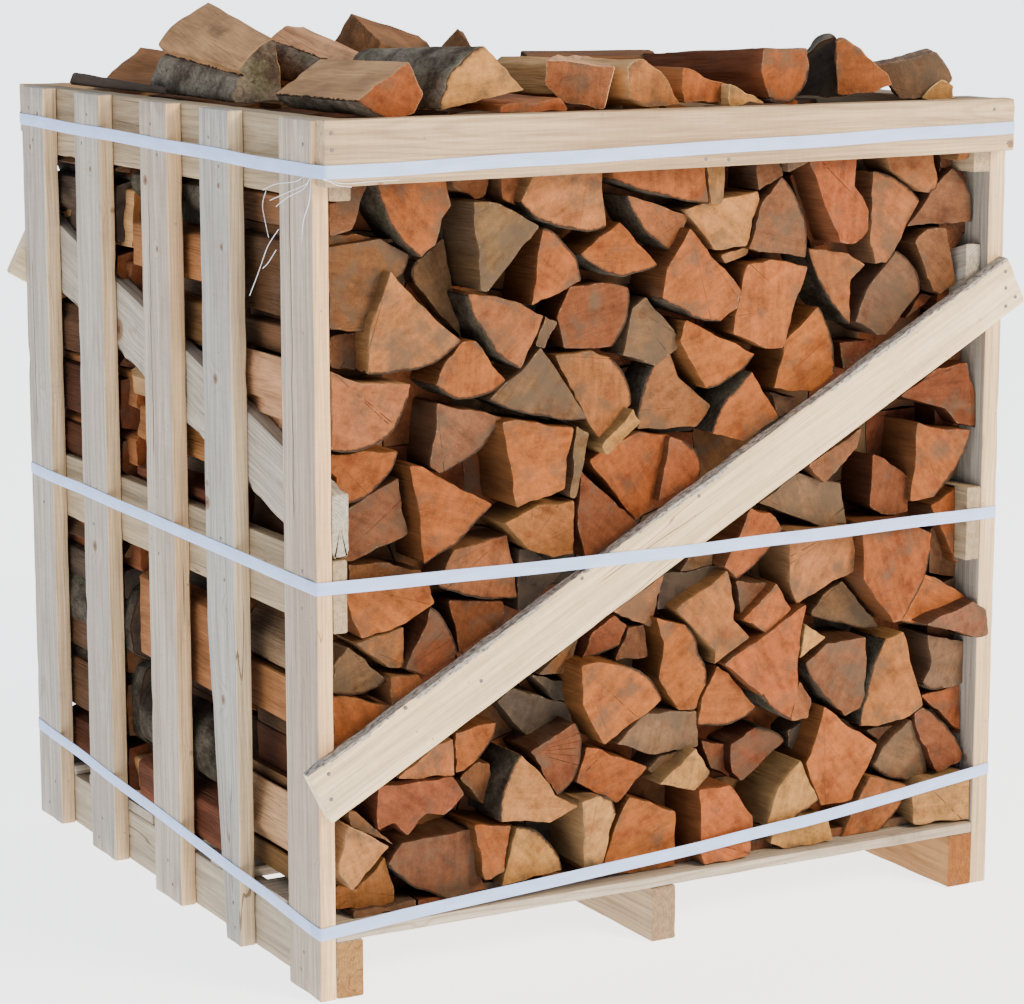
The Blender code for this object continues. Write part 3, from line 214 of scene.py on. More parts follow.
    (-0.6, "b", (), (41, 38.8), (47, 40.4), (49.4, 41.2), (51.7, 39.8), (52.2, 36), (50, 35.8), (43.5, 38)),
    # seventh tier
    (0.5, "o", (3, 0.8), (-14.4, 39.2), (-12, 39.6), (-8.7, 38.8), (-7.7, 38.6), (-2.1, 33.4), (-4.3, 31.8),
     (-10.9, 28.2), (-14.3, 34)),
    (5.5, "d", (), (-22, 39), (-14.3, 37), (-14.3, 34), (-18.5, 35.2)),
    (5.5, "d", (), (-27, 36), (-24.8, 37.6), (-16.5, 34.6), (-15.5, 31.8), (-21.8, 30)),
    (3, "o", (1, 0.6), (-33.2, 32.8), (-27, 33.4), (-29.8, 28.7), (-33, 27.3)),
    (2.5, "t", (), (-41.5, 27.9), (-36, 31.4), (-33.4, 32), (-33.1, 27.1), (-37.9, 27.3)),
    (1, "y", (), (20.7, 41.1), (24.3, 38.8), (19.7, 36.3)),
    (0.5, "o", (3, 0.4), (20.9, 43.8), (19.6, 36.6), (19.6, 31), (18.4, 28), (14, 31.8), (8, 36.8),
     (14.3, 40.2)),
    (2.5, "t", (), (19.8, 33.2), (21.9, 30.5), (21.4, 27.8), (18.6, 27.8)),
    (2.5, "o", (2, 1), (6.5, 36.9), (8.4, 35.8), (12.8, 30.3), (3.9, 28.9), (4.3, 32.5)),
    (1.5, "b", (4, 0.5), (24.5, 38), (30.8, 38.2), (31.3, 28.5), (28, 27), (26.5, 28.4), (21, 35.5)),
    (1, "t", (5, 0.6), (34.2, 37.4), (37.2, 38.2), (40.8, 27.2), (38.7, 25.9), (33.5, 25), (30.6, 25.4)),
    (2.5, "g", (3, 0.6), (41.3, 37.3), (49.6, 35), (49.4, 29.6), (44.3, 29.2), (40.6, 30.4), (42, 33.5)),
    # eighth tier
    (1.5, "r", (), (-44.2, 27.2), (-33.2, 26.8), (-31.3, 24.2), (-34.2, 21.8), (-37, 22.5), (-39.8, 19.9),
     (-41.8, 21.9), (-44.2, 21.4)),
    (4.5, "b", (), (-32.6, 26.6), (-29.8, 28.5), (-28, 28), (-27.5, 23.2), (-29, 22.6)),
    (0.5, "y", (5, 1), (-23.3, 28.5), (-19.8, 24.7), (-18.1, 22.2), (-14.6, 20.3), (-19, 18.7), (-26.6, 20)),
    (1.5, "r", (1, 2.2), (-22, 28.7), (-15.4, 31.9), (-17.6, 22)),
    (2.5, "o", (), (-13.3, 28.2), (-8, 26.2), (-4.3, 24.4), (-9, 20.1), (-15, 23.6)),
    (3, "g", (), (-4.3, 31.8), (3.5, 31.1), (4, 26), (-2.8, 25.8), (-9, 28.1), (-6.5, 30.3)),
    (4.5, "g", (), (-4.3, 24), (-2.4, 25.7), (3, 25.7), (-2.2, 21.9)),
    (1.5, "y", (), (3.4, 26), (5.6, 22.2), (3.2, 20.1), (-2.4, 21.7)),
    (4, "r", (1, 0.6), (8.7, 25.8), (13, 27.6), (18, 25), (10.6, 20.3), (9, 21.8)),
    (5.5, "r", (), (4, 27), (8.6, 25.6), (9, 21), (5.8, 22.8)),
    (5, "d", (), (18.2, 26.4), (22.5, 28.5), (23, 24.2), (21, 22.2), (18.5, 24)),
    (1, "o", (), (23.9, 29.2), (27.2, 26.6), (33.6, 22.4), (32, 19.2), (29.5, 14.9), (24.3, 14.8),
     (21.3, 21.4), (23, 25)),
    (5, "b", (), (31.2, 24.9), (38, 25.2), (34.2, 22.2)),
    (3, "g", (3, 0.4), (38.7, 25.5), (40.6, 22.5), (42.2, 17.3), (38.7, 16.5), (32.5, 19.6), (34, 22)),
    (2, "r", (1, 0.8), (39.6, 26), (41.2, 26.8), (48, 19.4), (47.6, 18.2), (43.5, 17.2), (40.6, 22.2)),
    (3, "o", (), (41, 28.4), (48, 29.6), (49.1, 22.3), (46.5, 23.3)),
    # bottom tiers
    (1, "y", (), (-48.3, 22.6), (-42.4, 18.9), (-47.9, 14), (-49.8, 17)),
    (2.5, "b", (), (-48.5, 24.6), (-47.4, 24.4), (-42, 19.2), (-48.2, 22.7)),
    (4, "t", (), (-43.4, 17.8), (-41.8, 13), (-42.3, 11), (-50.2, 11.8), (-50.2, 15), (-47.5, 13.8)),
    (3, "b", (4, 0.7), (-40.9, 19.2), (-30.5, 19.7), (-30, 15.5), (-28.7, 11.3), (-34.6, 11), (-42.8, 16.6)),
    (1, "o", (), (-30.2, 20), (-24.8, 19.2), (-26, 13.2), (-28.9, 12.5)),
    (1.5, "y", (0, 1.7), (-24, 19), (-17, 12), (-26.5, 11.3)),
    (0.5, "y", (1, 0.5), (-14.4, 21), (-11.3, 21.2), (-9, 18.8), (-11, 12), (-13.9, 11.8)),
    (2, "o", (), (-7.2, 20.7), (0.2, 17.7), (0.4, 9.9), (-11.5, 10), (-8.5, 18)),
    (0.5, "o", (), (4, 20.1), (9.1, 20), (12.9, 15), (12.4, 9.5), (4.8, 9.5), (4.2, 13)),
    (0.5, "y", (1, 0.7), (20.4, 22), (23.9, 15.7), (14.6, 13.2), (16.5, 18.5)),
    (2.5, "t", (1, 0.8), (32, 18.2), (38.5, 16), (33.5, 9.7), (27.6, 9.5), (29.5, 14)),
    (1.5, "y", (), (16.5, 13.1), (25, 13.6), (26, 9.9), (18, 9.7), (15.8, 10.7)),
    (0.5, "y", (), (39.8, 13.8), (41.5, 16.2), (49.9, 16.5), (50.3, 13.5), (49.6, 9.5), (40.2, 9.9)),
]

# The billets of the left wall, row by row from the top down, in centimetres: the heights
# that each one spans, how deep it reaches, its timber and whether bark faces the slats.
LEFT_STACKS = {
    "middle": [
        (103.5, 109.0, 6, "r", False), (95.5, 103.0, 8, "d", True), (85.5, 95.0, 9, "o", False),
        (77.5, 85.0, 7, "b", False), (69.0, 77.0, 8, "t", False), (61.0, 68.5, 7, "o", False),
        (52.0, 60.5, 9, "r", False), (44.8, 51.5, 7, "b", False), (28.5, 44.3, 10, "o", False),
        (18.0, 28.0, 9, "d", True), (9.3, 17.5, 8, "r", False)],
    "back": [
        (99.0, 108.5, 8, "o", False), (88.5, 98.5, 9, "t", False), (80.0, 88.0, 7, "r", False),
        (73.0, 79.5, 8, "b", False), (64.5, 72.5, 9, "o", False), (56.5, 64.0, 8, "o", False),
        (50.0, 56.0, 7, "g", False), (41.0, 49.5, 9, "r", False), (29.5, 40.5, 9, "d", True),
        (16.0, 29.0, 9, "d", True), (9.3, 15.5, 8, "t", False)],
}

# The billets that lie loose on top, in centimetres and degrees: timber of the end and of the
# sides ("+" where the ends are bark), the edges that are bark, then (x, y) of the near end,
# length, yaw (+ turns the far end to the right), pitch (+ lifts it) and the far end's scale,
# and last the near corners (distance across, height).
LOOSE = [
    ("ot", (3,), (-41, -49, 30, 5, -1, 0.95), (2.1, 117.8), (4.1, 113.9), (2.8, 111.4), (-1, 110.9),
     (-4.7, 113.1)),
    ("yt", (2, 3, 4), (-29, -49, 31, 0, -2, 0.95), (0.7, 119.5), (6.5, 113.9), (-5.3, 111.7), (-4.6, 114.2),
     (-2.6, 117.3)),
    ("tt", (), (-14, -48.5, 22, 30, 3, 0.6), (-4.6, 117.4), (4.2, 116.6), (2.8, 111.3), (-2.5, 112.2),
     (-4.6, 114.4)),
    ("tt", (), (-4, -49, 33, -4, -1, 1), (-3.7, 116.4), (-1.4, 117.4), (2, 115.3), (4.8, 111.5), (0, 111.3),
     (-3.4, 112.6)),
    ("or", (2, 3), (17.5, -47.5, 33, 1.5, -2, 0.8), (-3.3, 118.4), (3.6, 118.3), (3.9, 115.5), (1.4, 111.2),
     (-2.3, 111.8), (-3.7, 115.4)),
    ("oo", (), (5, -47.5, 28, 3, 0, 1), (-3.3, 116), (-1.6, 115.8), (5, 112.9), (7.5, 111.6), (-3, 111.6)),
    ("yt", (), (10, -49.6, 20, 0, 0, 1), (-2.4, 114), (3, 111.4), (-2.2, 111.2)),
    ("oo", (), (29, -48.5, 20, 33, -1, 0.9), (-3.3, 119.2), (-2.2, 119.6), (1.5, 116.6), (4.2, 113.4),
     (1.8, 112.2), (-3, 112)),
    ("gg", (), (39, -46.5, 14, 32, 0, 1), (-4.9, 115.5), (3.1, 117.5), (5.4, 113.8), (2.7, 111.4),
     (-1.7, 111.2), (-3.9, 114.4)),
    ("yy", (), (41.7, -48.5, 12, 20, 0, 1), (-2.2, 111.3), (0.6, 113.8), (2.4, 112.9), (2.3, 111.2)),
    ("dd", (), (-44.2, 12, 31, -2, 1, 2.2), (-1.2, 111.2), (-0.9, 112.1), (1.4, 111.3)),
    ("to", (), (-35.5, 24.5, 24.5, -1, 1.2, 1.1), (-3.4, 111.2), (2.2, 115.7), (5, 111.4)),
    ("dt+", (0, 1), (-41.3, -10, 33, 6, 3.3, 1.5), (-3.2, 111), (-2.9, 113), (-1.8, 114.5), (-2.7, 115.4),
     (-0.8, 117.5), (2.5, 119.4), (3.2, 115.6), (3, 111.1)),
    ("tt", (5, 0, 1), (-28, -17, 24, -2, 7, 1.55), (-2.6, 112), (-3.2, 114), (-2.2, 115.4), (-0.6, 116.6),
     (1.4, 116.4), (2.4, 112.6)),
    ("gb", (), (-24, -3, 24, 50, -8, 0.9), (-3.5, 117), (0, 122.5), (4.5, 118.5), (3, 115)),
    ("gb", (), (-5.3, 3, 20, 30, -3, 1), (-6, 112), (1, 120), (3.5, 116), (4, 112)),
    ("gb", (), (19, -12, 19, -75, 0, 1), (-4, 111.2), (-4, 116.2), (1, 117), (4, 113.5), (4, 111.2)),
    ("ot", (4,), (-22, 48.5, 31, 178, 0, 0.9), (-5, 111.5), (-3, 116), (2, 118), (5, 114), (4, 111.3)),
    ("tb", (), (-8, 48, 24, 184, 0, 0.9), (-5, 111.4), (-2, 117), (4, 115), (5, 111.5)),
    ("oo", (0,), (6, 49, 31, 176, 0, 1), (-6, 111.4), (-4, 114), (3, 115.5), (6, 111.4)),
    ("tt", (), (22, 48, 30, 186, 0, 0.9), (-5, 111.3), (-2, 113.8), (4, 113.2), (5, 111.3)),
    ("oo", (1,), (36, 46, 28, 172, 0, 1), (-5, 111.3), (-1, 114.2), (4, 112.8), (5, 111.3)),
    ("db", (0, 1, 2), (29.5, -38, 20, 33, -1, 1), (-3, 111.3), (-2.6, 114.2), (-0.8, 117.6), (2.2, 119.6),
     (4, 116), (4, 111.3)),
    ("oo", (), (-21, -49.3, 30, 0, 0, 1), (-5.5, 111.2), (-5, 112), (3.4, 112.8), (4.6, 111.2)),
]


# ---------------------------------------------------------------- named choices
class Timber(Enum):
    """The timbers that a billet can have, keyed by the letter the lists use."""

    ORANGE = "o"
    TAN = "t"
    BROWN = "b"
    GREY = "g"
    BARKY = "d"
    STRAW = "y"
    RUSSET = "r"


class Facing(Enum):
    """Which way the finished ends of a row look."""

    FRONT = "front"
    HIDDEN = "middle"
    BACK = "back"


class Coat(IntEnum):
    """The finish numbers of a billet."""

    SAWN_END = 0
    SPLIT_FACE = 1
    BARK = 2


@dataclass(frozen=True)
class TimberTint:
    """Colours of one timber: its sawn end, its split faces, and how grey it has weathered."""

    end: Colour
    face: Colour
    greyness: float


TINTS = {
    Timber.ORANGE: TimberTint((0.2268, 0.0671, 0.0195), (0.190, 0.070, 0.026), 0.10),
    Timber.TAN: TimberTint((0.2236, 0.0834, 0.0286), (0.300, 0.150, 0.066), 0.35),
    Timber.BROWN: TimberTint((0.1258, 0.0525, 0.0234), (0.110, 0.048, 0.022), 0.50),
    Timber.GREY: TimberTint((0.1274, 0.0684, 0.0346), (0.150, 0.082, 0.046), 0.80),
    Timber.BARKY: TimberTint((0.0459, 0.0342, 0.0267), (0.055, 0.036, 0.025), 0.80),
    Timber.STRAW: TimberTint((0.2789, 0.1311, 0.0419), (0.360, 0.200, 0.090), 0.15),
    Timber.RUSSET: TimberTint((0.131, 0.041, 0.0168), (0.095, 0.031, 0.014), 0.30),
}


# ---------------------------------------------------------------- numpy surfaces
def ripple(places: np.ndarray, seed: int, wavelength: float) -> np.ndarray:
    """Soft seeded noise: the mean of sine waves that run in random directions.

    Each wave is sin(direction . place * 2 pi / length + phase), its length within a third of
    the wavelength asked for.

    Args:
        places: Points, with their coordinates in the last axis, in metres.
        seed: Picks the directions and phases.
        wavelength: Typical distance between two crests, in metres.

    Returns:
        A value from about -1 to 1 for each point.
    """
    waves = 7
    rng = np.random.default_rng(seed)
    directions = units(rng.normal(size=(waves, places.shape[-1])))
    lengths = wavelength * rng.uniform(0.7, 1.4, waves)
    phases = rng.uniform(0, TAU, waves)
    angle = places @ (directions * (TAU / lengths)[:, None]).T + phases
    return np.sin(angle).sum(-1) / math.sqrt(waves)


def lengths_of(vectors: np.ndarray) -> np.ndarray:
    """Length of each vector, kept as a last axis of one."""
    return np.maximum(np.linalg.norm(vectors, axis=-1, keepdims=True), 1e-12)


def units(vectors: np.ndarray) -> np.ndarray:
    """Each vector at length one."""
    return vectors / lengths_of(vectors)


def run_along(line: np.ndarray) -> np.ndarray:
    """Distance along a line of points, from its first point to each of them."""
    return np.concatenate([[0], np.cumsum(np.linalg.norm(np.diff(line, axis=0), axis=1))])


@dataclass
class Skin:
    """The surface of one piece while it grows, patch by patch."""

    points: list = field(default_factory=list)
    quads: list = field(default_factory=list)
    triangles: list = field(default_factory=list)
    quad_finish: list = field(default_factory=list)
    triangle_finish: list = field(default_factory=list)
    marks: dict = field(default_factory=dict)
    count: int = 0

    def add_closed_tube(self, rings: np.ndarray, poles: np.ndarray, marks: dict,
                        finish: np.ndarray | int = 0) -> None:
        """Adds a closed surface: rings of points joined in order, shut by a fan at each pole.

        Point (i, j) of the grid is point j of ring i. Ring i and ring i + 1 are joined by
        quads that wrap round, and the signed volume turns the faces outwards.

        Args:
            rings: Points (rings, around, 3), from the first pole to the last.
            poles: The two closing points (2, 3).
            marks: Point attributes (rings * around + 2, width), ring points first.
            finish: Finish numbers (rings + 1, around) for the first fan, each band and the
                last fan, or one number for all.
        """
        total, around = rings.shape[:2]
        finish = np.broadcast_to(finish, (total + 1, around))
        grid = np.arange(total * around).reshape(total, around) + self.count
        first, last = self.count + total * around, self.count + total * around + 1
        after = np.roll(grid, -1, axis=1)
        quads = np.stack([grid[:-1], after[:-1], after[1:], grid[1:]], -1).reshape(-1, 4)
        near = np.stack([np.full(around, first), after[0], grid[0]], -1)
        far = np.stack([np.full(around, last), grid[-1], after[-1]], -1)
        triangles = np.concatenate([near, far])
        points = np.concatenate([rings.reshape(-1, 3), poles])
        corners = points[quads - self.count] - points.mean(0)
        volume = np.einsum("ij,ij->i", corners[:, 0],
                           np.cross(corners[:, 1] - corners[:, 3], corners[:, 2] - corners[:, 0])).sum()
        if volume > 0:
            quads, triangles = quads[:, ::-1], triangles[:, ::-1]
        self.triangles.append(triangles)
        self.triangle_finish.append(np.concatenate([finish[0], finish[-1]]))
        self.add_quads(points, quads, marks, finish[1:-1].reshape(-1))

    def add_quads(self, points: np.ndarray, quads: np.ndarray, marks: dict,
                  finish: np.ndarray | int = 0) -> None:
        """Adds points, the quads on them and their attributes.

        Args:
            points: New points (points, 3).
            quads: Faces (faces, 4) that already number them from self.count.
            marks: Point attributes (points, width) by name.
            finish: The finish number of each quad, or one for all.
        """
        self.points.append(points)
        self.quads.append(quads)
        self.quad_finish.append(np.broadcast_to(finish, len(quads)))
        for name, values in marks.items():
            self.marks.setdefault(name, []).append(values)
        self.count += len(points)

    def to_object(self, name: str, materials: list, sharp_degrees: float = 38.0) -> bpy.types.Object:
        """Makes the piece: one mesh with its finishes, attributes and smooth shading.

        Args:
            name: The piece's name.
            materials: The finishes that the finish numbers pick from.
            sharp_degrees: Edges that turn more than this stay sharp.

        Returns:
            The object, at the origin.
        """
        points = np.concatenate(self.points)
        quads = np.concatenate(self.quads)
        triangles = np.concatenate([np.zeros((0, 3), int), *self.triangles])
        loops = np.concatenate([quads.reshape(-1), triangles.reshape(-1)])
        starts = np.concatenate([np.arange(len(quads)) * 4, len(quads) * 4 + np.arange(len(triangles)) * 3])
        finish = np.concatenate(self.quad_finish + self.triangle_finish)
        mesh = bpy.data.meshes.new(name)
        for elements, key, values, kind in ((mesh.vertices, "co", points, np.float32),
                                            (mesh.loops, "vertex_index", loops, np.int32),
                                            (mesh.polygons, "loop_start", starts, np.int32)):
            elements.add(len(values))
            elements.foreach_set(key, values.astype(kind).reshape(-1))
        mesh.polygons.foreach_set("material_index", finish.astype(np.int32))
        mesh.update(calc_edges=True)
        for mark, parts in self.marks.items():
            self._store(mesh, mark, np.concatenate(parts))
        for material in materials:
            mesh.materials.append(material)
        mesh.shade_smooth()
        mesh.set_sharp_from_angle(angle=math.radians(sharp_degrees))
        made = bpy.data.objects.new(name, mesh)
        bpy.context.scene.collection.objects.link(made)
        return made

    @staticmethod
    def _store(mesh: bpy.types.Mesh, name: str, values: np.ndarray) -> None:
        """Keeps one attribute on the mesh.

        Args:
            mesh: The piece's mesh.
            name: The attribute's name.
            values: One row for each point: its width makes it a number, a vector or a colour.
        """
        kinds = {1: ("FLOAT", "value"), 3: ("FLOAT_VECTOR", "vector"), 4: ("FLOAT_COLOR", "color")}
        kind, key = kinds[values.shape[1]]
        layer = mesh.attributes.new(name, kind, "POINT")
        layer.data.foreach_set(key, values.astype(np.float32).reshape(-1))


def settle(piece: bpy.types.Object, nodes: list[str]) -> None:
    """Hides the frame's nodes that a piece stands for, lets it ride on the crate and logs its triangles.

    Args:
        piece: The finished piece.
        nodes: The frame's nodes that it replaces; none for a piece that only adds detail.
    """
    if nodes:
        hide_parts(*nodes)
    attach(piece, "root")
    faces = sum(len(polygon.vertices) - 2 for polygon in piece.data.polygons)
    LOG.info("%s: %d triangles", piece.name, faces)


# ---------------------------------------------------------------- node sheets
class NodeSheet:
    """A material's node tree, laid out with a few short calls."""

    def __init__(self, name: str) -> None:
        """Starts a material with a bare Principled shader.

        Args:
            name: The material's name.
        """
        self.material = bpy.data.materials.new(name)
        self.material.use_nodes = True
        self.tree = self.material.node_tree
        self.shader = self.tree.nodes["Principled BSDF"]

    def feed(self, node: bpy.types.Node, inputs: dict) -> None:
        """Fills a node's inputs: a socket is linked, anything else is set.

        Args:
            node: The node.
            inputs: A value or a socket for each input, by its name or number.
        """
        for key, value in inputs.items():
            if isinstance(value, Socket):
                self.tree.links.new(value, node.inputs[key])
            else:
                node.inputs[key].default_value = value

    def node(self, kind: str, inputs: dict, output: int | str = 0, **options: str) -> Socket:
        """Adds a node.

        Args:
            kind: The node's type, without the word that all shader nodes start with.
            inputs: A value or a socket for each input, by its name or number.
            output: The output wanted, by its name or number.
            **options: The node's own settings.

        Returns:
            The output.
        """
        made = self.tree.nodes.new(f"ShaderNode{kind}")
        for name, value in options.items():
            setattr(made, name, value)
        self.feed(made, inputs)
        return made.outputs[output]

    def attribute(self, name: str, output: str = "Vector") -> Socket:
        """An attribute of the piece."""
        return self.node("Attribute", {}, output, attribute_name=name)

    def place(self) -> Socket:
        """Object coordinates, in metres."""
        return self.node("TexCoord", {}, "Object")

    def part(self, vector: Socket, axis: str) -> Socket:
        """One number of a vector."""
        return self.node("SeparateXYZ", {0: vector}, axis)

    def math(self, operation: str, *values: Amount) -> Socket:
        """A Math node on numbers or sockets."""
        return self.node("Math", dict(enumerate(values)), operation=operation)

    def vector(self, operation: str, *values: Socket | tuple, output: str = "Vector") -> Socket:
        """A Vector Math node on vectors or sockets."""
        return self.node("VectorMath", dict(enumerate(values)), output, operation=operation)

    def add(self, *values: Amount) -> Socket:
        """The sum of numbers or sockets."""
        return reduce(partial(self.math, "ADD"), values)

    def times(self, one: Amount, other: Amount) -> Socket:
        """The product of two numbers or sockets."""
        return self.math("MULTIPLY", one, other)

    def off(self, value: Socket, middle: float) -> Socket:
        """How far a number is from a middle one."""
        return self.math("ABSOLUTE", self.math("SUBTRACT", value, middle))

    def radius(self, grain: Socket) -> Socket:
        """Distance from the pith, across the grain."""
        return self.vector("LENGTH", self.vector("MULTIPLY", grain, (1, 1, 0)), output="Value")

    def moved(self, place: Socket, step: tuple) -> Socket:
        """A place moved by a step, so that a second noise doesn't follow the first."""
        return self.vector("ADD", place, step)

    def noise(self, place: Socket, scale: float, detail: float = 3.0, roughness: float = 0.5,
              stretch: tuple = (1, 1, 1)) -> Socket:
        """Noise from 0 to 1 on stretched coordinates."""
        spot = self.vector("MULTIPLY", place, stretch)
        return self.node("TexNoise", {"Vector": spot, "Scale": scale, "Detail": detail,
                                      "Roughness": roughness})

    def cells(self, place: Socket, scale: float) -> Socket:
        """Distance to the middle of the nearest scattered cell, in cell widths."""
        return self.node("TexVoronoi", {"Vector": place, "Scale": scale}, "Distance")

    def span(self, value: Socket, low: float, high: float, to_low: float = 0.0,
             to_high: float = 1.0) -> Socket:
        """Maps low..high onto another range, smoothly and held at its ends."""
        ends = (value, low, high, to_low, to_high)
        return self.node("MapRange", dict(enumerate(ends)), interpolation_type="SMOOTHSTEP")

    def swing(self, value: Socket, reach: float) -> Socket:
        """Turns the middle of a noise, 0.3 to 0.7, into -reach to reach."""
        return self.span(value, 0.3, 0.7, -reach, reach)

    def mix(self, factor: Amount, one: Paint, other: Paint, blend: str = "MIX") -> Socket:
        """A mix of two colours."""
        pair = {6: one, 7: other}
        pair = {key: (*colour, 1.0) if isinstance(colour, tuple) else colour for key, colour in pair.items()}
        return self.node("Mix", {"Factor": factor, **pair}, 2, data_type="RGBA", blend_type=blend)

    def scale(self, colour: Paint, brightness: Amount) -> Socket:
        """A colour times a number."""
        return self.node("VectorMath", {0: colour, "Scale": brightness}, operation="SCALE")

    def bump(self, height: Socket, depth: float) -> Socket:
        """A bump of the given depth in metres."""
        return self.node("Bump", {"Strength": 1.0, "Distance": depth, "Height": height}, "Normal")

    def finish(self, colour: Socket, roughness: float, specular: float = 0.3, **more: Amount) -> Material:
        """Joins everything to the shader and gives the material; more names inputs such as Normal."""
        self.feed(self.shader, {"Base Color": colour, "Roughness": roughness,
                                "Specular IOR Level": specular, **more})
        return self.material


# ---------------------------------------------------------------- finishes
BARK_DARK: Colour = (0.066, 0.046, 0.033)
BARK_RIM: Colour = (0.036, 0.020, 0.012)
BARK_GREY: Colour = (0.205, 0.168, 0.124)
BARK_MOSS: Colour = (0.145, 0.142, 0.084)


@dataclass(frozen=True)
class SawnEnd:
    """Sawn end of a billet: faint rings round the pith, a crack or two, saw marks, weathering."""

    ring_width: float = 0.0030
    saw_pitch: float = 0.0026
    rim: float = 0.0020
    roughness: float = 0.78
    ruddy: Colour = (0.62, 0.50, 0.48)
    # A painted highlight: a pale band along the end's rim, where the cut's edge catches the light.
    rim_highlight: Colour = (0.62, 0.42, 0.27)
    inner_bark: Colour = (0.085, 0.036, 0.018)
    weather: Colour = (0.082, 0.058, 0.037)
    smudge: Colour = (0.060, 0.046, 0.030)

    def make(self) -> Material:
        """Lays out the material.

        Returns:
            The material.
        """
        sheet = NodeSheet("sawn_end")
        grain, traits = sheet.attribute("grain"), sheet.attribute("traits")
        flat = sheet.vector("MULTIPLY", grain, (1, 1, 0))
        angle = sheet.times(sheet.part(traits, "X"), TAU)
        turned = sheet.node("VectorRotate", {"Vector": flat, "Angle": angle}, rotation_type="Z_AXIS")
        ray_way = sheet.vector("ADD", sheet.vector("NORMALIZE", flat), sheet.scale(traits, 40))
        cloud, blotch = sheet.noise(grain, 20, 3, 0.5), sheet.noise(grain, 52, 4, 0.6)
        fleck, speck = sheet.noise(grain, 150, 4, 0.65), sheet.noise(grain, 460, 3, 0.6)
        rays, drag = sheet.noise(ray_way, 14, 2), sheet.noise(turned, 95, 4, 0.6, (1, 0.10, 1))
        swings = ((cloud, 0.15), (blotch, 0.12), (fleck, 0.10), (speck, 0.11), (rays, 0.05), (drag, 0.16))
        light = sheet.add(1.04, sheet.times(self._rings(sheet, grain), 0.022),
                          sheet.times(self._saw_marks(sheet, flat, turned), 0.030),
                          *(sheet.swing(part, reach) for part, reach in swings))
        colour = sheet.scale(sheet.attribute("end_tint", "Color"), light)
        red = sheet.noise(sheet.moved(grain, (7.3, 2.2, 0)), 30, 3, 0.55)
        colour = sheet.mix(sheet.span(red, 0.50, 0.74, 0.0, 0.80), colour,
                           sheet.mix(1.0, colour, self.ruddy, "MULTIPLY"))
        colour = sheet.mix(self._weathered(sheet, grain, sheet.part(traits, "Y")), colour, self.weather)
        # Painted highlight just inside the rim of the end.
        rim_highlight = sheet.span(sheet.attribute("rim_away", "Fac"), 0.0004, 0.0030, 0.16, 0.0)
        colour = sheet.mix(sheet.times(rim_highlight, sheet.span(fleck, 0.40, 0.60)), colour, self.rim_highlight)
        dirt = sheet.noise(sheet.moved(grain, (9.2, 6.1, 0)), 42, 4, 0.62)
        colour = sheet.mix(sheet.span(dirt, 0.60, 0.76, 0.0, 0.55), colour, self.smudge)
        crack = self._cracks(sheet, ray_way, blotch)
        colour = sheet.mix(crack, colour, BARK_RIM)
        ragged = sheet.add(sheet.attribute("bark_away", "Fac"),
                           sheet.span(sheet.noise(grain, 140, 3), 0.25, 0.75, -0.0012, 0.0012))
        for full, gone, cover, over in ((1.2, 2.6, 0.45, self.inner_bark), (0.7, 1.4, 0.95, BARK_RIM)):
            bark = sheet.span(ragged, self.rim * full, self.rim * gone, cover, 0.0)
            colour = sheet.mix(bark, colour, over)
        height = sheet.add(sheet.times(speck, 0.5), sheet.times(fleck, 0.9), sheet.times(crack, -1.2))
        return sheet.finish(colour, self.roughness, 0.10, Normal=sheet.bump(height, 0.0012))

    @staticmethod
    def _weathered(sheet: NodeSheet, grain: Socket, greyness: Socket) -> Socket:
        """How weathered a spot is: soft patches, more of them on a greyer end and near its edge.

        Args:
            sheet: The material's sheet.
            grain: The place within the billet.
            greyness: The billet's own.

        Returns:
            A number from 0 to 0.72.
        """
        patch = sheet.noise(sheet.moved(grain, (3.1, 1.7, 0)), 24, 4, 0.58)
        edge = sheet.span(sheet.attribute("rim_away", "Fac"), 0.0, 0.010, 0.07, 0.0)
        return sheet.span(sheet.add(patch, sheet.times(greyness, 0.15), edge), 0.54, 0.76, 0.0, 0.72)

    @staticmethod
    def _cracks(sheet: NodeSheet, ray_way: Socket, blotch: Socket) -> Socket:
        """Hairline cracks that run out from the pith, in a few directions only.

        Args:
            sheet: The material's sheet.
            ray_way: The direction from the pith.
            blotch: The noise that breaks the cracks off.

        Returns:
            A number from 0 to 0.75.
        """
        line = sheet.span(sheet.off(sheet.noise(ray_way, 2.2, 1), 0.5), 0.0008, 0.0045, 0.75, 0.0)
        few = sheet.span(sheet.noise(sheet.moved(ray_way, (5.0, 8.0, 1.0)), 1.7, 1), 0.55, 0.60)
        return sheet.times(sheet.times(line, few), sheet.span(blotch, 0.42, 0.50))

    def _rings(self, sheet: NodeSheet, grain: Socket) -> Socket:
        """Growth rings: sines of the distance from the pith, a fine one and a broad one.

        Args:
            sheet: The material's sheet.
            grain: The place within the billet.

        Returns:
            A number from -2.4 to 2.4.
        """
        radius = sheet.add(sheet.radius(grain), sheet.times(sheet.noise(grain, 26, 2), 0.012))
        fine, broad = (sheet.math("SINE", sheet.times(radius, TAU / width))
                       for width in (self.ring_width, self.ring_width * 4.3))
        return sheet.add(fine, sheet.times(broad, 1.4))

    def _saw_marks(self, sheet: NodeSheet, flat: Socket, turned: Socket) -> Socket:
        """Straight saw marks, from -1 to 1: a sine across the end, wavered by a noise."""
        across = sheet.add(sheet.part(turned, "X"), sheet.times(sheet.noise(flat, 60, 2), 0.004))
        return sheet.math("SINE", sheet.times(across, TAU / self.saw_pitch))


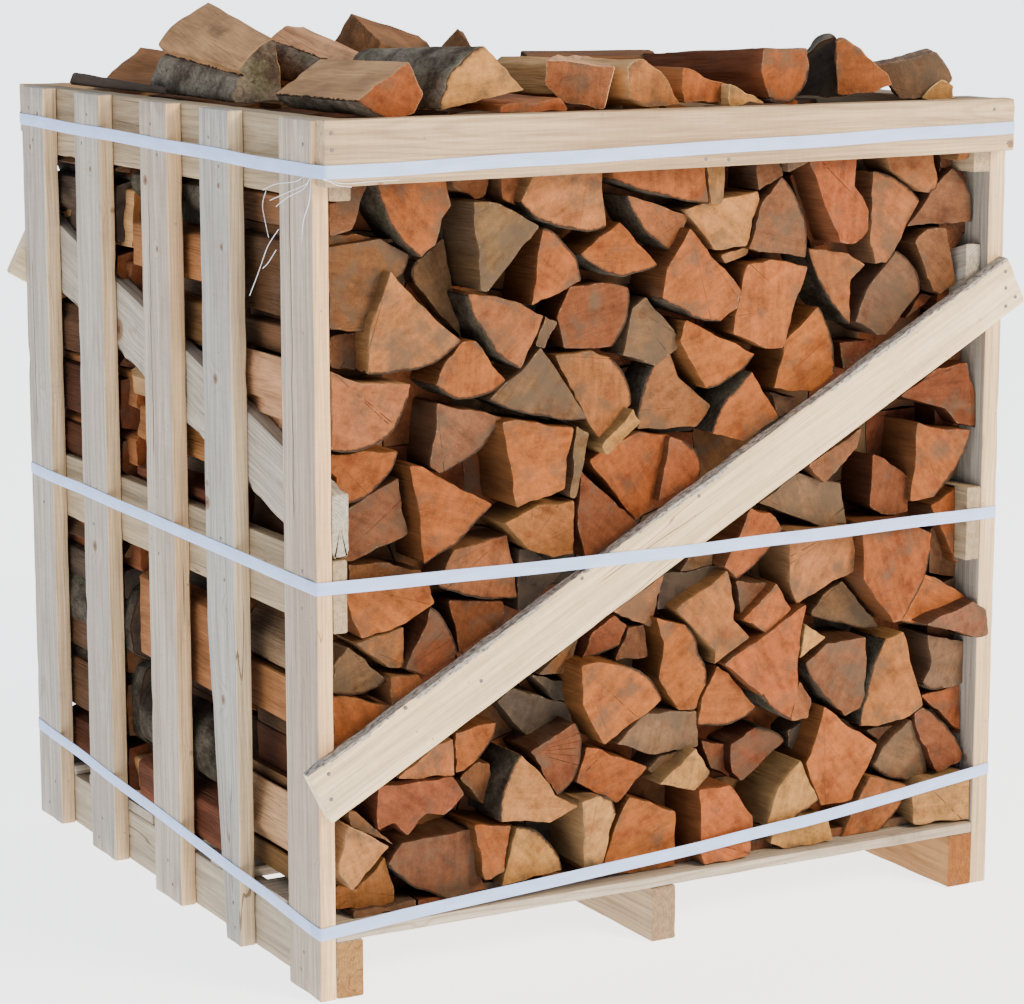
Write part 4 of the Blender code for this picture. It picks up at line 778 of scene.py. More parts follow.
@dataclass(frozen=True)
class SplitFace:
    """Split side of a billet: long fibres torn along the grain, with browner streaks."""

    rim: float = 0.0025
    roughness: float = 0.82
    aged: Colour = (0.085, 0.056, 0.036)

    def make(self) -> Material:
        """Lays out the material.

        Returns:
            The material.
        """
        sheet = NodeSheet("split_face")
        grain, traits = sheet.attribute("grain"), sheet.attribute("traits")
        fibre = sheet.noise(grain, 260, 3, 0.6, (1, 1, 0.06))
        strand = sheet.noise(grain, 80, 4, 0.6, (1, 1, 0.12))
        streak = sheet.noise(grain, 26, 4, 0.55, (1, 1, 0.30))
        cloud = sheet.noise(grain, 9, 3, 0.5)
        light = sheet.add(sheet.span(streak, 0.25, 0.75, 0.80, 1.20), sheet.swing(fibre, 0.09),
                          sheet.swing(strand, 0.11), sheet.swing(cloud, 0.13))
        # The tint is the timber's face colour times painted shading: darker as painted shade in the rows,
        # lighter as painted light on the loose billets.
        colour = sheet.scale(sheet.attribute("side_tint_and_painted_shading", "Color"), light)
        patch = sheet.noise(grain, 15, 5, 0.65, (1, 1, 0.6))
        patch = sheet.add(patch, sheet.times(sheet.part(traits, "Y"), 0.22))
        colour = sheet.mix(sheet.span(patch, 0.58, 0.82, 0.0, 0.65), colour, self.aged)
        ragged = sheet.add(sheet.attribute("bark_away", "Fac"),
                           sheet.span(sheet.noise(grain, 120, 2), 0.2, 0.8, -0.002, 0.002))
        colour = sheet.mix(sheet.span(ragged, self.rim * 0.7, self.rim * 1.3, 1.0, 0.0), colour, BARK_RIM)
        height = sheet.add(fibre, sheet.times(strand, 1.6))
        return sheet.finish(colour, self.roughness, 0.10, Normal=sheet.bump(height, 0.0020))


@dataclass(frozen=True)
class Bark:
    """Smooth beech-like bark: soft lumps, grey-brown with dark and mossy patches and pale specks."""

    roughness: float = 0.92
    lichen: Colour = (0.42, 0.40, 0.31)

    def make(self) -> Material:
        """Lays out the material.

        Returns:
            The material.
        """
        sheet = NodeSheet("bark")
        grain = sheet.attribute("grain")
        lumps, crust = sheet.noise(grain, 60, 4, 0.6, (1, 1, 0.8)), sheet.noise(grain, 190, 5, 0.7)
        patch = sheet.noise(grain, 15, 5, 0.6)
        moss = sheet.noise(sheet.moved(grain, (4.0, 9.0, 2.0)), 19, 4, 0.6)
        speck = sheet.noise(sheet.moved(grain, (1.0, 3.0, 7.0)), 240, 3, 0.6)
        pit = sheet.noise(sheet.moved(grain, (6.0, 2.0, 5.0)), 95, 3, 0.6, (1, 1, 0.5))
        colour = sheet.mix(sheet.span(patch, 0.36, 0.62), BARK_DARK, BARK_GREY)
        colour = sheet.mix(sheet.span(moss, 0.50, 0.68, 0.0, 0.7), colour, BARK_MOSS)
        light = sheet.add(sheet.span(crust, 0.3, 0.7, 0.66, 1.34), sheet.swing(lumps, 0.18))
        colour = sheet.scale(colour, light)
        colour = sheet.mix(sheet.span(speck, 0.66, 0.74, 0.0, 0.5), colour, self.lichen)
        colour = sheet.mix(sheet.span(pit, 0.62, 0.72, 0.0, 0.75), colour, BARK_DARK)
        # Painted shade: the third trait darkens the bark of the rows' billets, which lie in shade.
        colour = sheet.scale(colour, sheet.part(sheet.attribute("traits"), "Z"))
        height = sheet.add(sheet.times(lumps, 1.5), crust, sheet.span(pit, 0.6, 0.75, 0.0, -0.5))
        return sheet.finish(colour, self.roughness, 0.04, Normal=sheet.bump(height, 0.0022))


@dataclass(frozen=True)
class BoardFinish:
    """Sawn softwood: growth lines from the grain, knots, hairline cracks, saw fuzz and dirt.

    pale and line are the wood between and in its growth lines, stain its dirty patches, and
    grime how far those spread. stray_cell is the size of the cells that hold one stray knot
    each; knots are placed (x, y, z, radius), and splits are upright cracks in the left slats
    (y, lowest z, highest z). bark_edge is the width of the bark left along the upper edge.
    """

    name: str
    pale: Colour
    line: Colour
    stain: Colour
    lines: float = 0.55
    grime: float = 0.30
    ring_width: float = 0.0046
    stray_cell: float = 1 / 7.0
    stray_knot: float = 0.007
    knots: tuple = ()
    splits: tuple = ()
    bark_edge: float = 0.0

    def make(self) -> Material:
        """Lays out the material.

        Returns:
            The material.
        """
        sheet = NodeSheet(self.name)
        grain = sheet.attribute("grain")
        knot, crack = self._knot_field(sheet, grain), self._cracks(sheet, grain)
        drift = sheet.noise(grain, 5.0, 2, 0.5, (1, 1, 0.4))
        radius = sheet.add(sheet.radius(grain), sheet.times(drift, 0.040),
                           sheet.span(knot, 0.6, 4.0, 0.006, 0.0))
        wave = sheet.math("SINE", sheet.times(radius, TAU / self.ring_width))
        colour = sheet.mix(sheet.span(wave, 0.0, 1.0, 0.0, self.lines), self.pale, self.line)
        hue = sheet.noise(grain, 9, 3, 0.5, (1, 1, 0.25))
        colour = sheet.mix(sheet.span(hue, 0.38, 0.70, 0.0, 0.60), colour, self.line)
        streak = sheet.noise(grain, 130, 3, 0.6, (1, 1, 0.03))
        fuzz = sheet.noise(grain, 480, 3, 0.6, (1, 1, 0.03))
        cross = sheet.noise(grain, 150, 3, 0.6, (0.25, 0.25, 1))
        light = sheet.add(sheet.span(fuzz, 0.3, 0.7, 0.90, 1.10), sheet.swing(cross, 0.03),
                          sheet.span(streak, 0.3, 0.7, -0.20, 0.17))
        colour = sheet.scale(colour, light)
        colour = sheet.mix(1.0, colour, sheet.attribute("tint", "Color"), "MULTIPLY")
        spread = 0.25 * self.grime
        dirt = sheet.span(sheet.noise(sheet.place(), 13, 5, 0.68), 0.66 - spread, 0.92 - spread, 0.0, 0.75)
        pins = sheet.span(sheet.cells(sheet.place(), 36), 0.045, 0.075, 0.50, 0.0)
        for cover, over in ((dirt, self.stain), (crack, (0.10, 0.055, 0.028)), (pins, (0.14, 0.09, 0.055)),
                            (sheet.span(knot, 0.75, 1.25, 0.85, 0.0), (0.17, 0.085, 0.04)),
                            (sheet.span(knot, 0.20, 0.55, 0.7, 0.0), (0.06, 0.03, 0.018))):
            colour = sheet.mix(cover, colour, over)
        if self.bark_edge:
            colour = self._bark_strip(sheet, grain, colour)
        height = sheet.add(fuzz, streak, sheet.times(cross, 0.8), sheet.times(crack, -3.0))
        return sheet.finish(colour, 0.76, 0.2, Normal=sheet.bump(height, 0.0008))

    def _bark_strip(self, sheet: NodeSheet, grain: Socket, colour: Socket) -> Socket:
        """Grey speckled bark left along one edge, with a ragged border.

        Args:
            sheet: The material's sheet.
            grain: The place within the board.
            colour: The wood's colour.

        Returns:
            The colour with the bark over it.
        """
        ragged = sheet.noise(grain, 34, 4, 0.65, (1, 1, 0.5))
        away = sheet.add(sheet.attribute("edge_away", "Fac"), sheet.span(ragged, 0.3, 0.75, 0.0035, -0.006))
        speckle = sheet.noise(grain, 230, 4, 0.7, (1, 1, 0.5))
        bark = sheet.mix(sheet.span(speckle, 0.35, 0.60), (0.10, 0.088, 0.080), (0.40, 0.37, 0.33))
        cover = sheet.span(away, self.bark_edge * 0.8, self.bark_edge * 1.15, 1.0, 0.0)
        return sheet.mix(cover, colour, bark)

    def _cracks(self, sheet: NodeSheet, grain: Socket) -> Socket:
        """Hairline cracks along the grain: level lines of stretched noise, and the placed splits.

        Args:
            sheet: The material's sheet.
            grain: The place within the board.

        Returns:
            A number from 0 to 1.
        """
        level = sheet.off(sheet.noise(grain, 26, 2, 0.5, (1, 1, 0.06)), 0.5)
        here = sheet.span(sheet.noise(grain, 3.5, 1), 0.58, 0.64)
        crack = sheet.times(sheet.span(level, 0.0015, 0.006, 0.7, 0.0), here)
        place = sheet.place()
        waver = sheet.times(sheet.math("SUBTRACT", sheet.noise(place, 11, 3), 0.5), 0.010)
        y = sheet.add(sheet.part(place, "Y"), waver)
        on_left = sheet.math("LESS_THAN", sheet.part(place, "X"), -0.5)
        for split_y, low, high in self.splits:
            half = (high - low) / 2
            away = sheet.off(sheet.part(place, "Z"), (low + high) / 2)
            inside = sheet.span(away, half * 0.85, half, 1.0, 0.0)
            split = sheet.span(sheet.off(y, split_y), 0.0004, 0.0013, 0.95, 0.0)
            crack = sheet.math("MAXIMUM", crack, sheet.times(sheet.times(inside, on_left), split))
        return crack

    def _knot_field(self, sheet: NodeSheet, grain: Socket) -> Socket:
        """Distance to the nearest knot, in knot radii: scattered ones and the placed ones.

        Args:
            sheet: The material's sheet.
            grain: The place within the board.

        Returns:
            A number from 0 up.
        """
        nearest = sheet.times(sheet.cells(grain, 1 / self.stray_cell), self.stray_cell / self.stray_knot)
        place = sheet.place()
        for x, y, z, radius in self.knots:
            away = sheet.vector("DISTANCE", place, (x, y, z), output="Value")
            nearest = sheet.math("MINIMUM", nearest, sheet.times(away, 1 / radius))
        return nearest


@dataclass(frozen=True)
class StrapPlastic:
    """Pressed polypropylene strap: pale blue, a fine woven emboss, a soft shine."""

    colour: Colour = (0.43, 0.565, 0.89)
    roughness: float = 0.42
    weave_pitch: float = 0.0022

    def make(self) -> Material:
        """Lays out the material.

        Returns:
            The material.
        """
        sheet = NodeSheet("strap_plastic")
        weave = sheet.attribute("grain")
        along = (sheet.vector("DOT_PRODUCT", weave, turn, output="Value") for turn in ((1, 1, 0), (1, -1, 0)))
        emboss = sheet.times(*(sheet.math("SINE", sheet.times(run, TAU / self.weave_pitch)) for run in along))
        cloudy = sheet.noise(weave, 60, 3, 0.5, (0.3, 1, 1))
        rib = sheet.noise(weave, 700, 1, 0.5, (0.02, 1, 1))
        light = sheet.add(sheet.span(cloudy, 0.3, 0.7, 0.93, 1.06), sheet.swing(rib, 0.04),
                          sheet.times(emboss, 0.02))
        normal = sheet.bump(sheet.add(emboss, rib), 0.00012)
        return sheet.finish(sheet.scale(self.colour, light), self.roughness, 0.4, Normal=normal)


@dataclass(frozen=True)
class PlainFinish:
    """A small part's finish: one colour with a fine mottle."""

    name: str
    colour: Colour
    roughness: float
    metallic: float = 0.0
    mottle: float = 900.0

    def make(self) -> Material:
        """Lays out the material.

        Returns:
            The material.
        """
        sheet = NodeSheet(self.name)
        speck = sheet.noise(sheet.place(), self.mottle, 2)
        colour = sheet.scale(self.colour, sheet.span(speck, 0.3, 0.7, 0.75, 1.2))
        return sheet.finish(colour, self.roughness, Metallic=self.metallic, Normal=sheet.bump(speck, 0.0002))


PINE = BoardFinish("pine_board", (0.62, 0.485, 0.310), (0.44, 0.305, 0.185), (0.24, 0.21, 0.17),
                   lines=0.45, grime=0.25,
                   knots=tuple((-0.525, *spot) for spot in (
                       (-0.165, 0.59, 0.009), (0.245, 0.46, 0.008), (0.025, 1.003, 0.007),
                       (-0.20, 0.76, 0.007), (0.433, 1.072, 0.004), (0.466, 1.022, 0.004),
                       (0.227, 1.005, 0.004), (-0.012, 0.913, 0.004), (-0.220, 1.013, 0.004),
                       (-0.226, 0.934, 0.005))),
                   splits=((-0.436, 0.60, 1.075), (0.4700, 0.60, 0.86), (0.0150, 0.62, 0.98)))
BRACE = BoardFinish("brace_board", (0.64, 0.535, 0.375), (0.56, 0.43, 0.27), (0.40, 0.34, 0.25),
                    lines=0.30, grime=0.10, bark_edge=3.5 * MM)
WEATHERED = BoardFinish("weathered_board", (0.40, 0.355, 0.28), (0.27, 0.215, 0.155), (0.15, 0.135, 0.115),
                        lines=0.6, grime=0.6, knots=((-0.5027, 0.19, 0.78, 0.016),))


# ---------------------------------------------------------------- billets
def held_inside(points: np.ndarray, rounding: np.ndarray) -> np.ndarray:
    """Keeps points off the crate's walls: x is held between the faces of whatever board is beside it.

    A wall board counts where the point's height lies within the board plus a small margin; a
    slanting board's height is its line at the point's y.

    Args:
        points: Points (..., 3) in metres.
        rounding: How much further off the wall each point is held, which rounds a billet's side.

    Returns:
        The same points with x, z moved inside.
    """
    margin, clear = 6 * MM, 1 * MM
    half = DIAGONAL_WIDTH / 2 * 1.04 + margin
    x, y, z = points[..., 0], points[..., 1], points[..., 2]
    limits = []
    for side, sign, wall, ((y0, z0), (y1, z1)) in SIDES:
        beside = {"side_diagonal": np.abs(z - (z0 + (y - y0) * (z1 - z0) / (y1 - y0))) < half}
        for board in ("side_mid_rail", "side_top_board"):
            low, high = span_of(f"{board}_{side}", "z")
            beside[board] = (z > low - margin) & (z < high + margin)
        reach = sign * wall - rounding
        for board, here in beside.items():
            face = min(sign * edge for edge in span_of(f"{board}_{side}", "x"))
            reach = np.where(here, np.minimum(reach, face), reach)
        limits.append(sign * (reach - clear))
    held = points.copy()
    held[..., 0] = np.where(y > FRONT_PLANE, np.clip(x, *limits), x)
    held[..., 2] = np.clip(z, DECK_TOP + clear, None)
    return held


def turned_by(degrees: float) -> np.ndarray:
    """The matrix that turns flat points by an angle."""
    cos, sin = math.cos(math.radians(degrees)), math.sin(math.radians(degrees))
    return np.array([[cos, -sin], [sin, cos]])


@dataclass(frozen=True)
class Billet:
    """One split log, as a loft between two outlines with the same corners.

    near and far are the corners (corners, 3) of the end that shows and of the other one. bark
    names the bark edges by their first corners, and bulge is how far they bow out. around and
    stations place the rings, tilt is the most that a saw cut leans, worn rounds the corners
    off and side_round the side against a wall, which holds a boxed billet in. The two gains
    are painted shading of the split faces and the bark: below one they darken them as painted
    shade where a billet lies in the rows' shade, and above one they lighten them as painted
    light where it catches the light. cap_scales are the rings of a sawn end.
    """

    near: np.ndarray
    far: np.ndarray
    bark: tuple
    bulge: float
    end: Timber
    side: Timber
    seed: int
    around: int = 40
    stations: tuple = (0.004, 0.03, 0.09, 0.20, 0.38, 0.62, 0.86, 0.996)
    tilt: float = 0.09
    boxed: bool = True
    bark_end: bool = False
    # Painted shading: by default, as in the rows, the split faces and the bark are darkened as painted shade.
    side_painted_shading: Colour = (0.62, 0.62, 0.60)
    bark_painted_shading: float = 0.34
    worn: float = 1.8 * MM
    side_round: float = 10 * MM
    cap_scales: ClassVar[tuple] = (0.12, 0.36, 0.60, 0.78, 0.90, 0.97)

    def grow(self, skin: Skin) -> None:
        """Adds the billet to a skin.

        A ring at station s is W . corners(s) pushed outwards: W spreads points evenly along
        each edge of the outline and corners(s) lies between the near and the far ones. The
        ends close in rings that shrink to the middle.

        Args:
            skin: The skin that takes it.
        """
        rng = np.random.default_rng(self.seed)
        near, far = self.near, self.far
        edge, place = self._outline()
        weights = np.zeros((len(edge), len(near)))
        weights[np.arange(len(edge)), edge] = 1 - place
        weights[np.arange(len(edge)), (edge + 1) % len(near)] = place
        core = far.mean(0) - near.mean(0)
        axis, length = units(core), float(lengths_of(core)[0])
        frame_ways = units(np.cross(axis, UP)), units(np.cross(np.cross(axis, UP), axis))
        stations = np.concatenate([[0.0], self.stations, [1.0]])
        spine = near + (far - near) * stations[:, None, None]
        rings = np.einsum("kc,scx->skx", weights, spine)
        rings = rings + self._push(rings, edge, place, axis, stations * length)
        rings = self._sawn(rings, stations, axis, frame_ways, rng.uniform(-self.tilt, self.tilt, 2))

        caps_near = np.stack([self._cap(rings[0], scale, axis, 3) for scale in self.cap_scales])
        caps_far = np.stack([self._cap(rings[-1], scale, axis, 4) for scale in self.cap_scales[::-3]])
        sheets = np.concatenate([caps_near, rings, caps_far])
        poles = np.stack([caps_near[0].mean(0), caps_far[-1].mean(0)])
        owner = np.clip(np.arange(len(sheets)) - len(caps_near), 0, len(rings) - 1)

        is_bark = np.isin(edge, self.bark)
        finish = np.full((len(sheets) + 1, len(edge)), Coat.BARK if self.bark_end else Coat.SAWN_END)
        side_finish = np.where(is_bark & np.isin(np.roll(edge, -1), self.bark), Coat.BARK, Coat.SPLIT_FACE)
        finish[len(caps_near) + 1:len(caps_near) + len(rings)] = side_finish

        pith = spine[owner][:, self._pith_corner()]
        off = sheets - pith[:, None]
        run = (sheets - near.mean(0)) @ axis + self.seed * 0.61
        grain = np.stack([*(off @ way for way in frame_ways), run], -1)
        bark_rim = rings[owner][:, np.flatnonzero(is_bark)]
        bark_away = self._nearest(sheets, bark_rim) if is_bark.any() else np.full(sheets.shape[:2], 0.1)
        rim_away = self._nearest(sheets, rings[owner][:, ::2])
        marks = self._marks(rng, grain, bark_away, rim_away)
        if self.boxed:
            depth_in = (stations * length)[owner]
            low, high = near[:, 2].min(), near[:, 2].max()
            off_middle = (sheets[..., 2] - (low + high) / 2) / ((high - low) / 2)
            rounding = self.side_round * off_middle ** 2 * np.clip(depth_in / (4 * CM), 0, 1)[:, None]
            sheets, poles = held_inside(sheets, rounding), held_inside(poles, np.zeros(2))
        skin.add_closed_tube(sheets, poles, marks, finish)

    def _outline(self) -> tuple[np.ndarray, np.ndarray]:
        """Spreads points along the outline's edges, a little off its corners.

        Returns:
            The edge of each point, and its place along that edge from 0 to 1.
        """
        edge_length = np.linalg.norm(np.roll(self.near, -1, axis=0) - self.near, axis=1)
        share = np.maximum(3, np.round(self.around * edge_length / edge_length.sum())).astype(int)
        edge = np.repeat(np.arange(len(self.near)), share)
        step = np.concatenate([np.linspace(0, 1, count) for count in share])
        worn = np.minimum(self.worn / edge_length, 0.2)[edge]
        return edge, worn + (1 - 2 * worn) * step

    def _push(self, rings: np.ndarray, edge: np.ndarray, place: np.ndarray, axis: np.ndarray,
              along: np.ndarray) -> np.ndarray:
        """How far each point is pushed out: low ridges on a split face, lumps and a bow on bark.

        Args:
            rings: The bare loft (stations, around, 3).
            edge: The edge of each point.
            place: Its place along that edge.
            axis: The billet's direction.
            along: The distance of each station from the near end.

        Returns:
            The steps outwards (stations, around, 3).
        """
        near = self.near
        turn = np.cross(near, np.roll(near, -1, axis=0)).sum(0) @ axis
        outward = units(np.cross(np.roll(near, -1, axis=0) - near, axis) * (1 if turn > 0 else -1))[edge]
        is_bark = np.isin(edge, self.bark)
        bow = 4 * place * (1 - place) * self.bulge * is_bark
        grid = np.stack(np.broadcast_arrays(run_along(rings[0])[None, :], along[:, None]), -1)
        ridges = ripple(grid * (1, 0.14), self.seed, 0.020) * 0.75 * MM
        swell = ripple(grid * (1, 0.5), self.seed + 1, 0.06) * 1.5 * MM
        lumps = ripple(grid * (1, 0.8), self.seed + 2, 0.026) * 0.7 * MM
        fade = np.sin(np.pi * np.clip(place, 0.02, 0.98)) ** 0.5
        return outward * (np.where(is_bark, lumps + swell, ridges + swell) * fade + bow)[..., None]

    @staticmethod
    def _sawn(rings: np.ndarray, stations: np.ndarray, axis: np.ndarray, ways: tuple,
              lean: np.ndarray) -> np.ndarray:
        """Leans both saw cuts by a plane, fading to the quarter points, and eases their rims.

        Args:
            rings: The rings (stations, around, 3).
            stations: Their places from 0 to 1.
            axis: The billet's direction.
            ways: The two directions across it.
            lean: The cut's slope along each of them.

        Returns:
            The moved rings.
        """
        off = rings - rings.mean(1, keepdims=True)
        slope = np.stack([off @ way for way in ways], -1) @ lean
        depth = slope - slope.min(1, keepdims=True)
        fade = np.clip(1 - stations * 4, 0, 1) - np.clip(stations * 4 - 3, 0, 1)
        rings = rings + axis * (depth * fade[:, None])[..., None]
        middle = rings.mean(1, keepdims=True)
        eased = middle + (rings - middle) * (1 - 0.9 * MM / lengths_of(rings - middle))
        rings[[0, -1]] = eased[[0, -1]]
        return rings

    def _cap(self, rim: np.ndarray, scale: float, axis: np.ndarray, key: int) -> np.ndarray:
        """One ring of a sawn end: the rim drawn in to scale, with a faint roughness across the cut.

        Args:
            rim: The end's outer ring.
            scale: How far the ring is drawn in.
            axis: The billet's direction.
            key: Picks the end's own noise.

        Returns:
            The ring.
        """
        middle = rim.mean(0)
        ring = middle + (rim - middle) * scale
        return ring + axis * (ripple(ring, self.seed + key, 0.018) * 0.35 * MM * (1 - scale))[:, None]

    def _pith_corner(self) -> int:
        """The corner that lay at the stem's middle: the one furthest from the bark.

        Returns:
            Its number; a seeded guess where there is no bark.
        """
        near = self.near
        if not self.bark:
            return int(self.seed % len(near))
        first = self.bark[len(self.bark) // 2]
        bark_middle = (near[first] + near[(first + 1) % len(near)]) / 2
        return int(np.linalg.norm(near - bark_middle, axis=1).argmax())

    @staticmethod
    def _nearest(sheets: np.ndarray, rims: np.ndarray) -> np.ndarray:
        """Distance of each point to the nearest point of its own ring's rim."""
        return np.linalg.norm(sheets[:, :, None] - rims[:, None], axis=-1).min(-1)

    def _marks(self, rng: np.random.Generator, grain: np.ndarray, bark_away: np.ndarray,
               rim_away: np.ndarray) -> dict:
        """The billet's attributes, point by point.

        Args:
            rng: The billet's random numbers.
            grain: The place within the billet (sheets, around, 3).
            bark_away: Distance to the bark.
            rim_away: Distance to the end's rim.

        Returns:
            An array for each attribute.
        """
        end, side = TINTS[self.end], TINTS[self.side]
        greyness = np.clip((end.greyness + side.greyness) / 2 + rng.uniform(-0.2, 0.25), 0, 1)
        tweak = rng.uniform(0.84, 1.14) * np.array([1.0, rng.uniform(0.93, 1.07), rng.uniform(0.88, 1.10)])
        total = bark_away.size + 2
        # The split-face tint is the timber's face colour times painted shading, and the third trait is the
        # bark's painted shading.
        per_billet = {"end_tint": [*(np.array(end.end) * tweak), 1.0],
                      "side_tint_and_painted_shading": [*(np.array(side.face) * tweak * self.side_painted_shading), 1.0],
                      "traits": [rng.uniform(0, 1), greyness, self.bark_painted_shading]}
        pole_grain = np.stack([grain[0].mean(0), grain[-1].mean(0)])
        pole_away = [bark_away[0].mean(), bark_away[-1].mean()]
        return {"grain": np.concatenate([grain.reshape(-1, 3), pole_grain]),
                "bark_away": np.concatenate([bark_away.reshape(-1), pole_away])[:, None],
                "rim_away": np.concatenate([rim_away.reshape(-1), [0.04, 0.04]])[:, None],
                **{name: np.tile(values, (total, 1)) for name, values in per_billet.items()}}


@dataclass
class FirewoodRow:
    """One row of stacked billets, all of one length.

    The packing fills the box from packed_from to packed_to, both (x, z), with a lattice of
    packed_cells points each way, packed_depth behind the ends; slivers on the deck reach
    low_reach nearer. corners holds where its last columns stand: x from and to, y from and to.
    """

    facing: Facing
    start: float
    packed_from: tuple = (-0.462, 0.092)
    packed_to: tuple = (0.460, 1.070)
    packed_cells: int = 11
    packed_depth: float = 0.095
    low_reach: float = 0.060
    # Painted light: the split faces of the billets against the left wall, seen between the slats, are
    # lightened.
    wall_painted_light: Colour = (1.25, 1.35, 1.35)
    corners: ClassVar[dict] = {
        "front": ((0.450, 0.4965, -0.450, -0.125),),
        "back": ((-0.4985, -0.450, 0.470, 0.200), (0.450, 0.4965, 0.455, 0.190)),
    }

    def build(self, finishes: list) -> None:
        """Grows the row's billets into one piece and the packing behind their ends into another.

        Args:
            finishes: The billets' finishes, in the order of Coat.
        """
        node = f"firewood_row_{self.facing.value}"
        for part, billets, nodes in (("logs", self.billets(), [node]), ("packing", self._packing(), [])):
            skin = Skin()
            for billet in billets:
                billet.grow(skin)
            settle(skin.to_object(f"{node}_{part}", finishes), nodes)

    def billets(self) -> list[Billet]:
        """The row's own billets: the row list turned the right way, and the left wall's.

        Returns:
            The billets.
        """
        made = []
        for index, (recess, tone, bark, *corners) in enumerate(ROW):
            outline, recess = np.array(corners, float) * CM, recess * CM
            if self.facing is Facing.FRONT:
                spread = 1 + recess / (FRONT_PLANE - EYE[1])
                outline = EYE[[0, 2]] + (outline - EYE[[0, 2]]) * spread
            elif self.facing is Facing.HIDDEN:
                outline = outline * (-1, 1)
            else:
                outline = outline * (-1, -1) + (0, DECK_TOP + ROW_TOP)
            on_left = outline[:, 0].mean() < -0.44
            if on_left and self.facing is not Facing.FRONT:
                continue
            billet = self._billet(outline, recess, bark[:1], sum(bark[1:]) * CM, Timber(tone), 101 * index)
            made.append(replace(billet, side_painted_shading=self.wall_painted_light) if on_left else billet)
        stacks = LEFT_STACKS.get(self.facing.value, [])
        return made + [self._wall_billet(index, *stack) for index, stack in enumerate(stacks)]

    def _packing(self) -> list[Billet]:
        """Dark billets deeper in, which close the gaps: the cells of a shaken square lattice.

        Lattice point (i, j) is moved by a seeded step, and each cell between four points is a
        billet that starts a hand's breadth behind the row's ends. Flat slivers lie on the deck,
        and a last column stands in a corner where the slats would let a view go right through.

        Returns:
            The billets.
        """
        rng = np.random.default_rng(11 + len(self.facing.value))
        low, high = np.array(self.packed_from), np.array(self.packed_to)
        steps = (np.linspace(low[axis], high[axis], self.packed_cells) for axis in (0, 1))
        points = np.stack(np.meshgrid(*steps, indexing="ij"), -1)
        points[1:-1, 1:-1] += rng.uniform(-0.022, 0.022, points[1:-1, 1:-1].shape)
        near_y, far_y = self._reach(self.packed_depth, 0.004)
        order = range(self.packed_cells - 1)
        cells = [(points[[i, i + 1, i + 1, i], [j, j, j + 1, j + 1]], near_y, far_y)
                 for i in order for j in order]
        nearer_y = near_y + np.sign(near_y - far_y) * self.low_reach
        foot = DECK_TOP + 0.4 * MM
        for left, right in zip(points[:-1, 0, 0], points[1:, 0, 0]):
            a, b = DECK_TOP + rng.uniform(0.010, 0.022, 2)
            cells.append((np.array([(left, foot), (right, foot), (right, a), (left, b)]), nearer_y, far_y))
        for x0, x1, y0, y1 in self.corners.get(self.facing.value, ()):
            heights = np.linspace(low[1], high[1], 12) + np.r_[0, rng.uniform(-0.02, 0.02, 10), 0]
            cells += [(np.array([(x0, a + 0.01), (x1, a), (x1, b), (x0, b - 0.01)]), y0, y1)
                      for a, b in zip(heights, heights[1:])]
        made = []
        for index, (cell, *ends) in enumerate(cells):
            near, far = (np.insert(cell, 1, y, axis=1) for y in ends)
            timber = Timber(rng.choice(list("rrbbdg")))
            made.append(Billet(near, far, (), 0.0, timber, timber, 80000 + index, around=16,
                               stations=(0.05, 0.5, 0.95), tilt=0.02))
        return made

    def _reach(self, near_recess: float, far_recess: float) -> tuple[float, float]:
        """The y of the finished end and of the other one, each set back by so much."""
        first, last = (far_recess, near_recess) if self.facing is Facing.BACK else (near_recess, far_recess)
        ends = (self.start + first, self.start + BILLET_LENGTH - last)
        return ends[::-1] if self.facing is Facing.BACK else ends

    def _billet(self, outline: np.ndarray, recess: float, bark: tuple, bulge: float, timber: Timber,
                key: int) -> Billet:
        """A billet with an outline at the row's finished end, tapered a little to the other.

        Args:
            outline: The finished end's corners (x, z).
            recess: How far that end is set back.
            bark: The edges that are bark.
            bulge: How far they bow out.
            timber: The billet's timber.
            key: Its number among the row's.

        Returns:
            The billet.
        """
        seed = key + {Facing.FRONT: 1, Facing.HIDDEN: 20011, Facing.BACK: 40013}[self.facing]
        rng = np.random.default_rng(seed)
        middle, shrink = outline.mean(0), rng.uniform(0.93, 1.0)
        behind = middle + (outline - middle) @ turned_by(rng.uniform(-2.5, 2.5)).T * shrink
        near, far = (np.insert(flat, 1, y, axis=1)
                     for flat, y in zip((outline, behind), self._reach(recess, 0.0)))
        return Billet(near, far, bark, bulge, timber, timber, seed)

    def _wall_billet(self, index: int, low: float, high: float, depth: float, tone: str,
                     barked: bool) -> Billet:
        """A billet against the left wall, between two heights.

        Args:
            index: Its number in the stack.
            low: Its lowest point, in centimetres.
            high: Its highest.
            depth: How deep it reaches.
            tone: The letter of its timber.
            barked: Whether bark faces the slats.

        Returns:
            The billet.
        """
        rng = np.random.default_rng(7000 + index + 50 * len(self.facing.value))
        x0 = -0.5 + rng.uniform(0, 0.008)
        low, high, depth = low * CM, high * CM, (depth + 3) * CM
        lift = (high - low) * rng.uniform(0.0, 0.28, 4)
        outline = np.array([(x0 + rng.uniform(0, 0.012), low + lift[0]),
                            (x0 + rng.uniform(0, 0.012), high - lift[1]),
                            (x0 + depth * 0.45, high + lift[3] * 0.3),
                            (x0 + depth, (low + high) / 2 + lift[2]), (x0 + depth * 0.5, low)])
        bark, bulge = ((4, 0, 1), 0.007) if barked else ((), 0.0)
        billet = self._billet(outline, 0.004 + rng.uniform(0, 0.016), bark, bulge, Timber(tone), 9000 + index)
        return replace(billet, side_painted_shading=self.wall_painted_light)


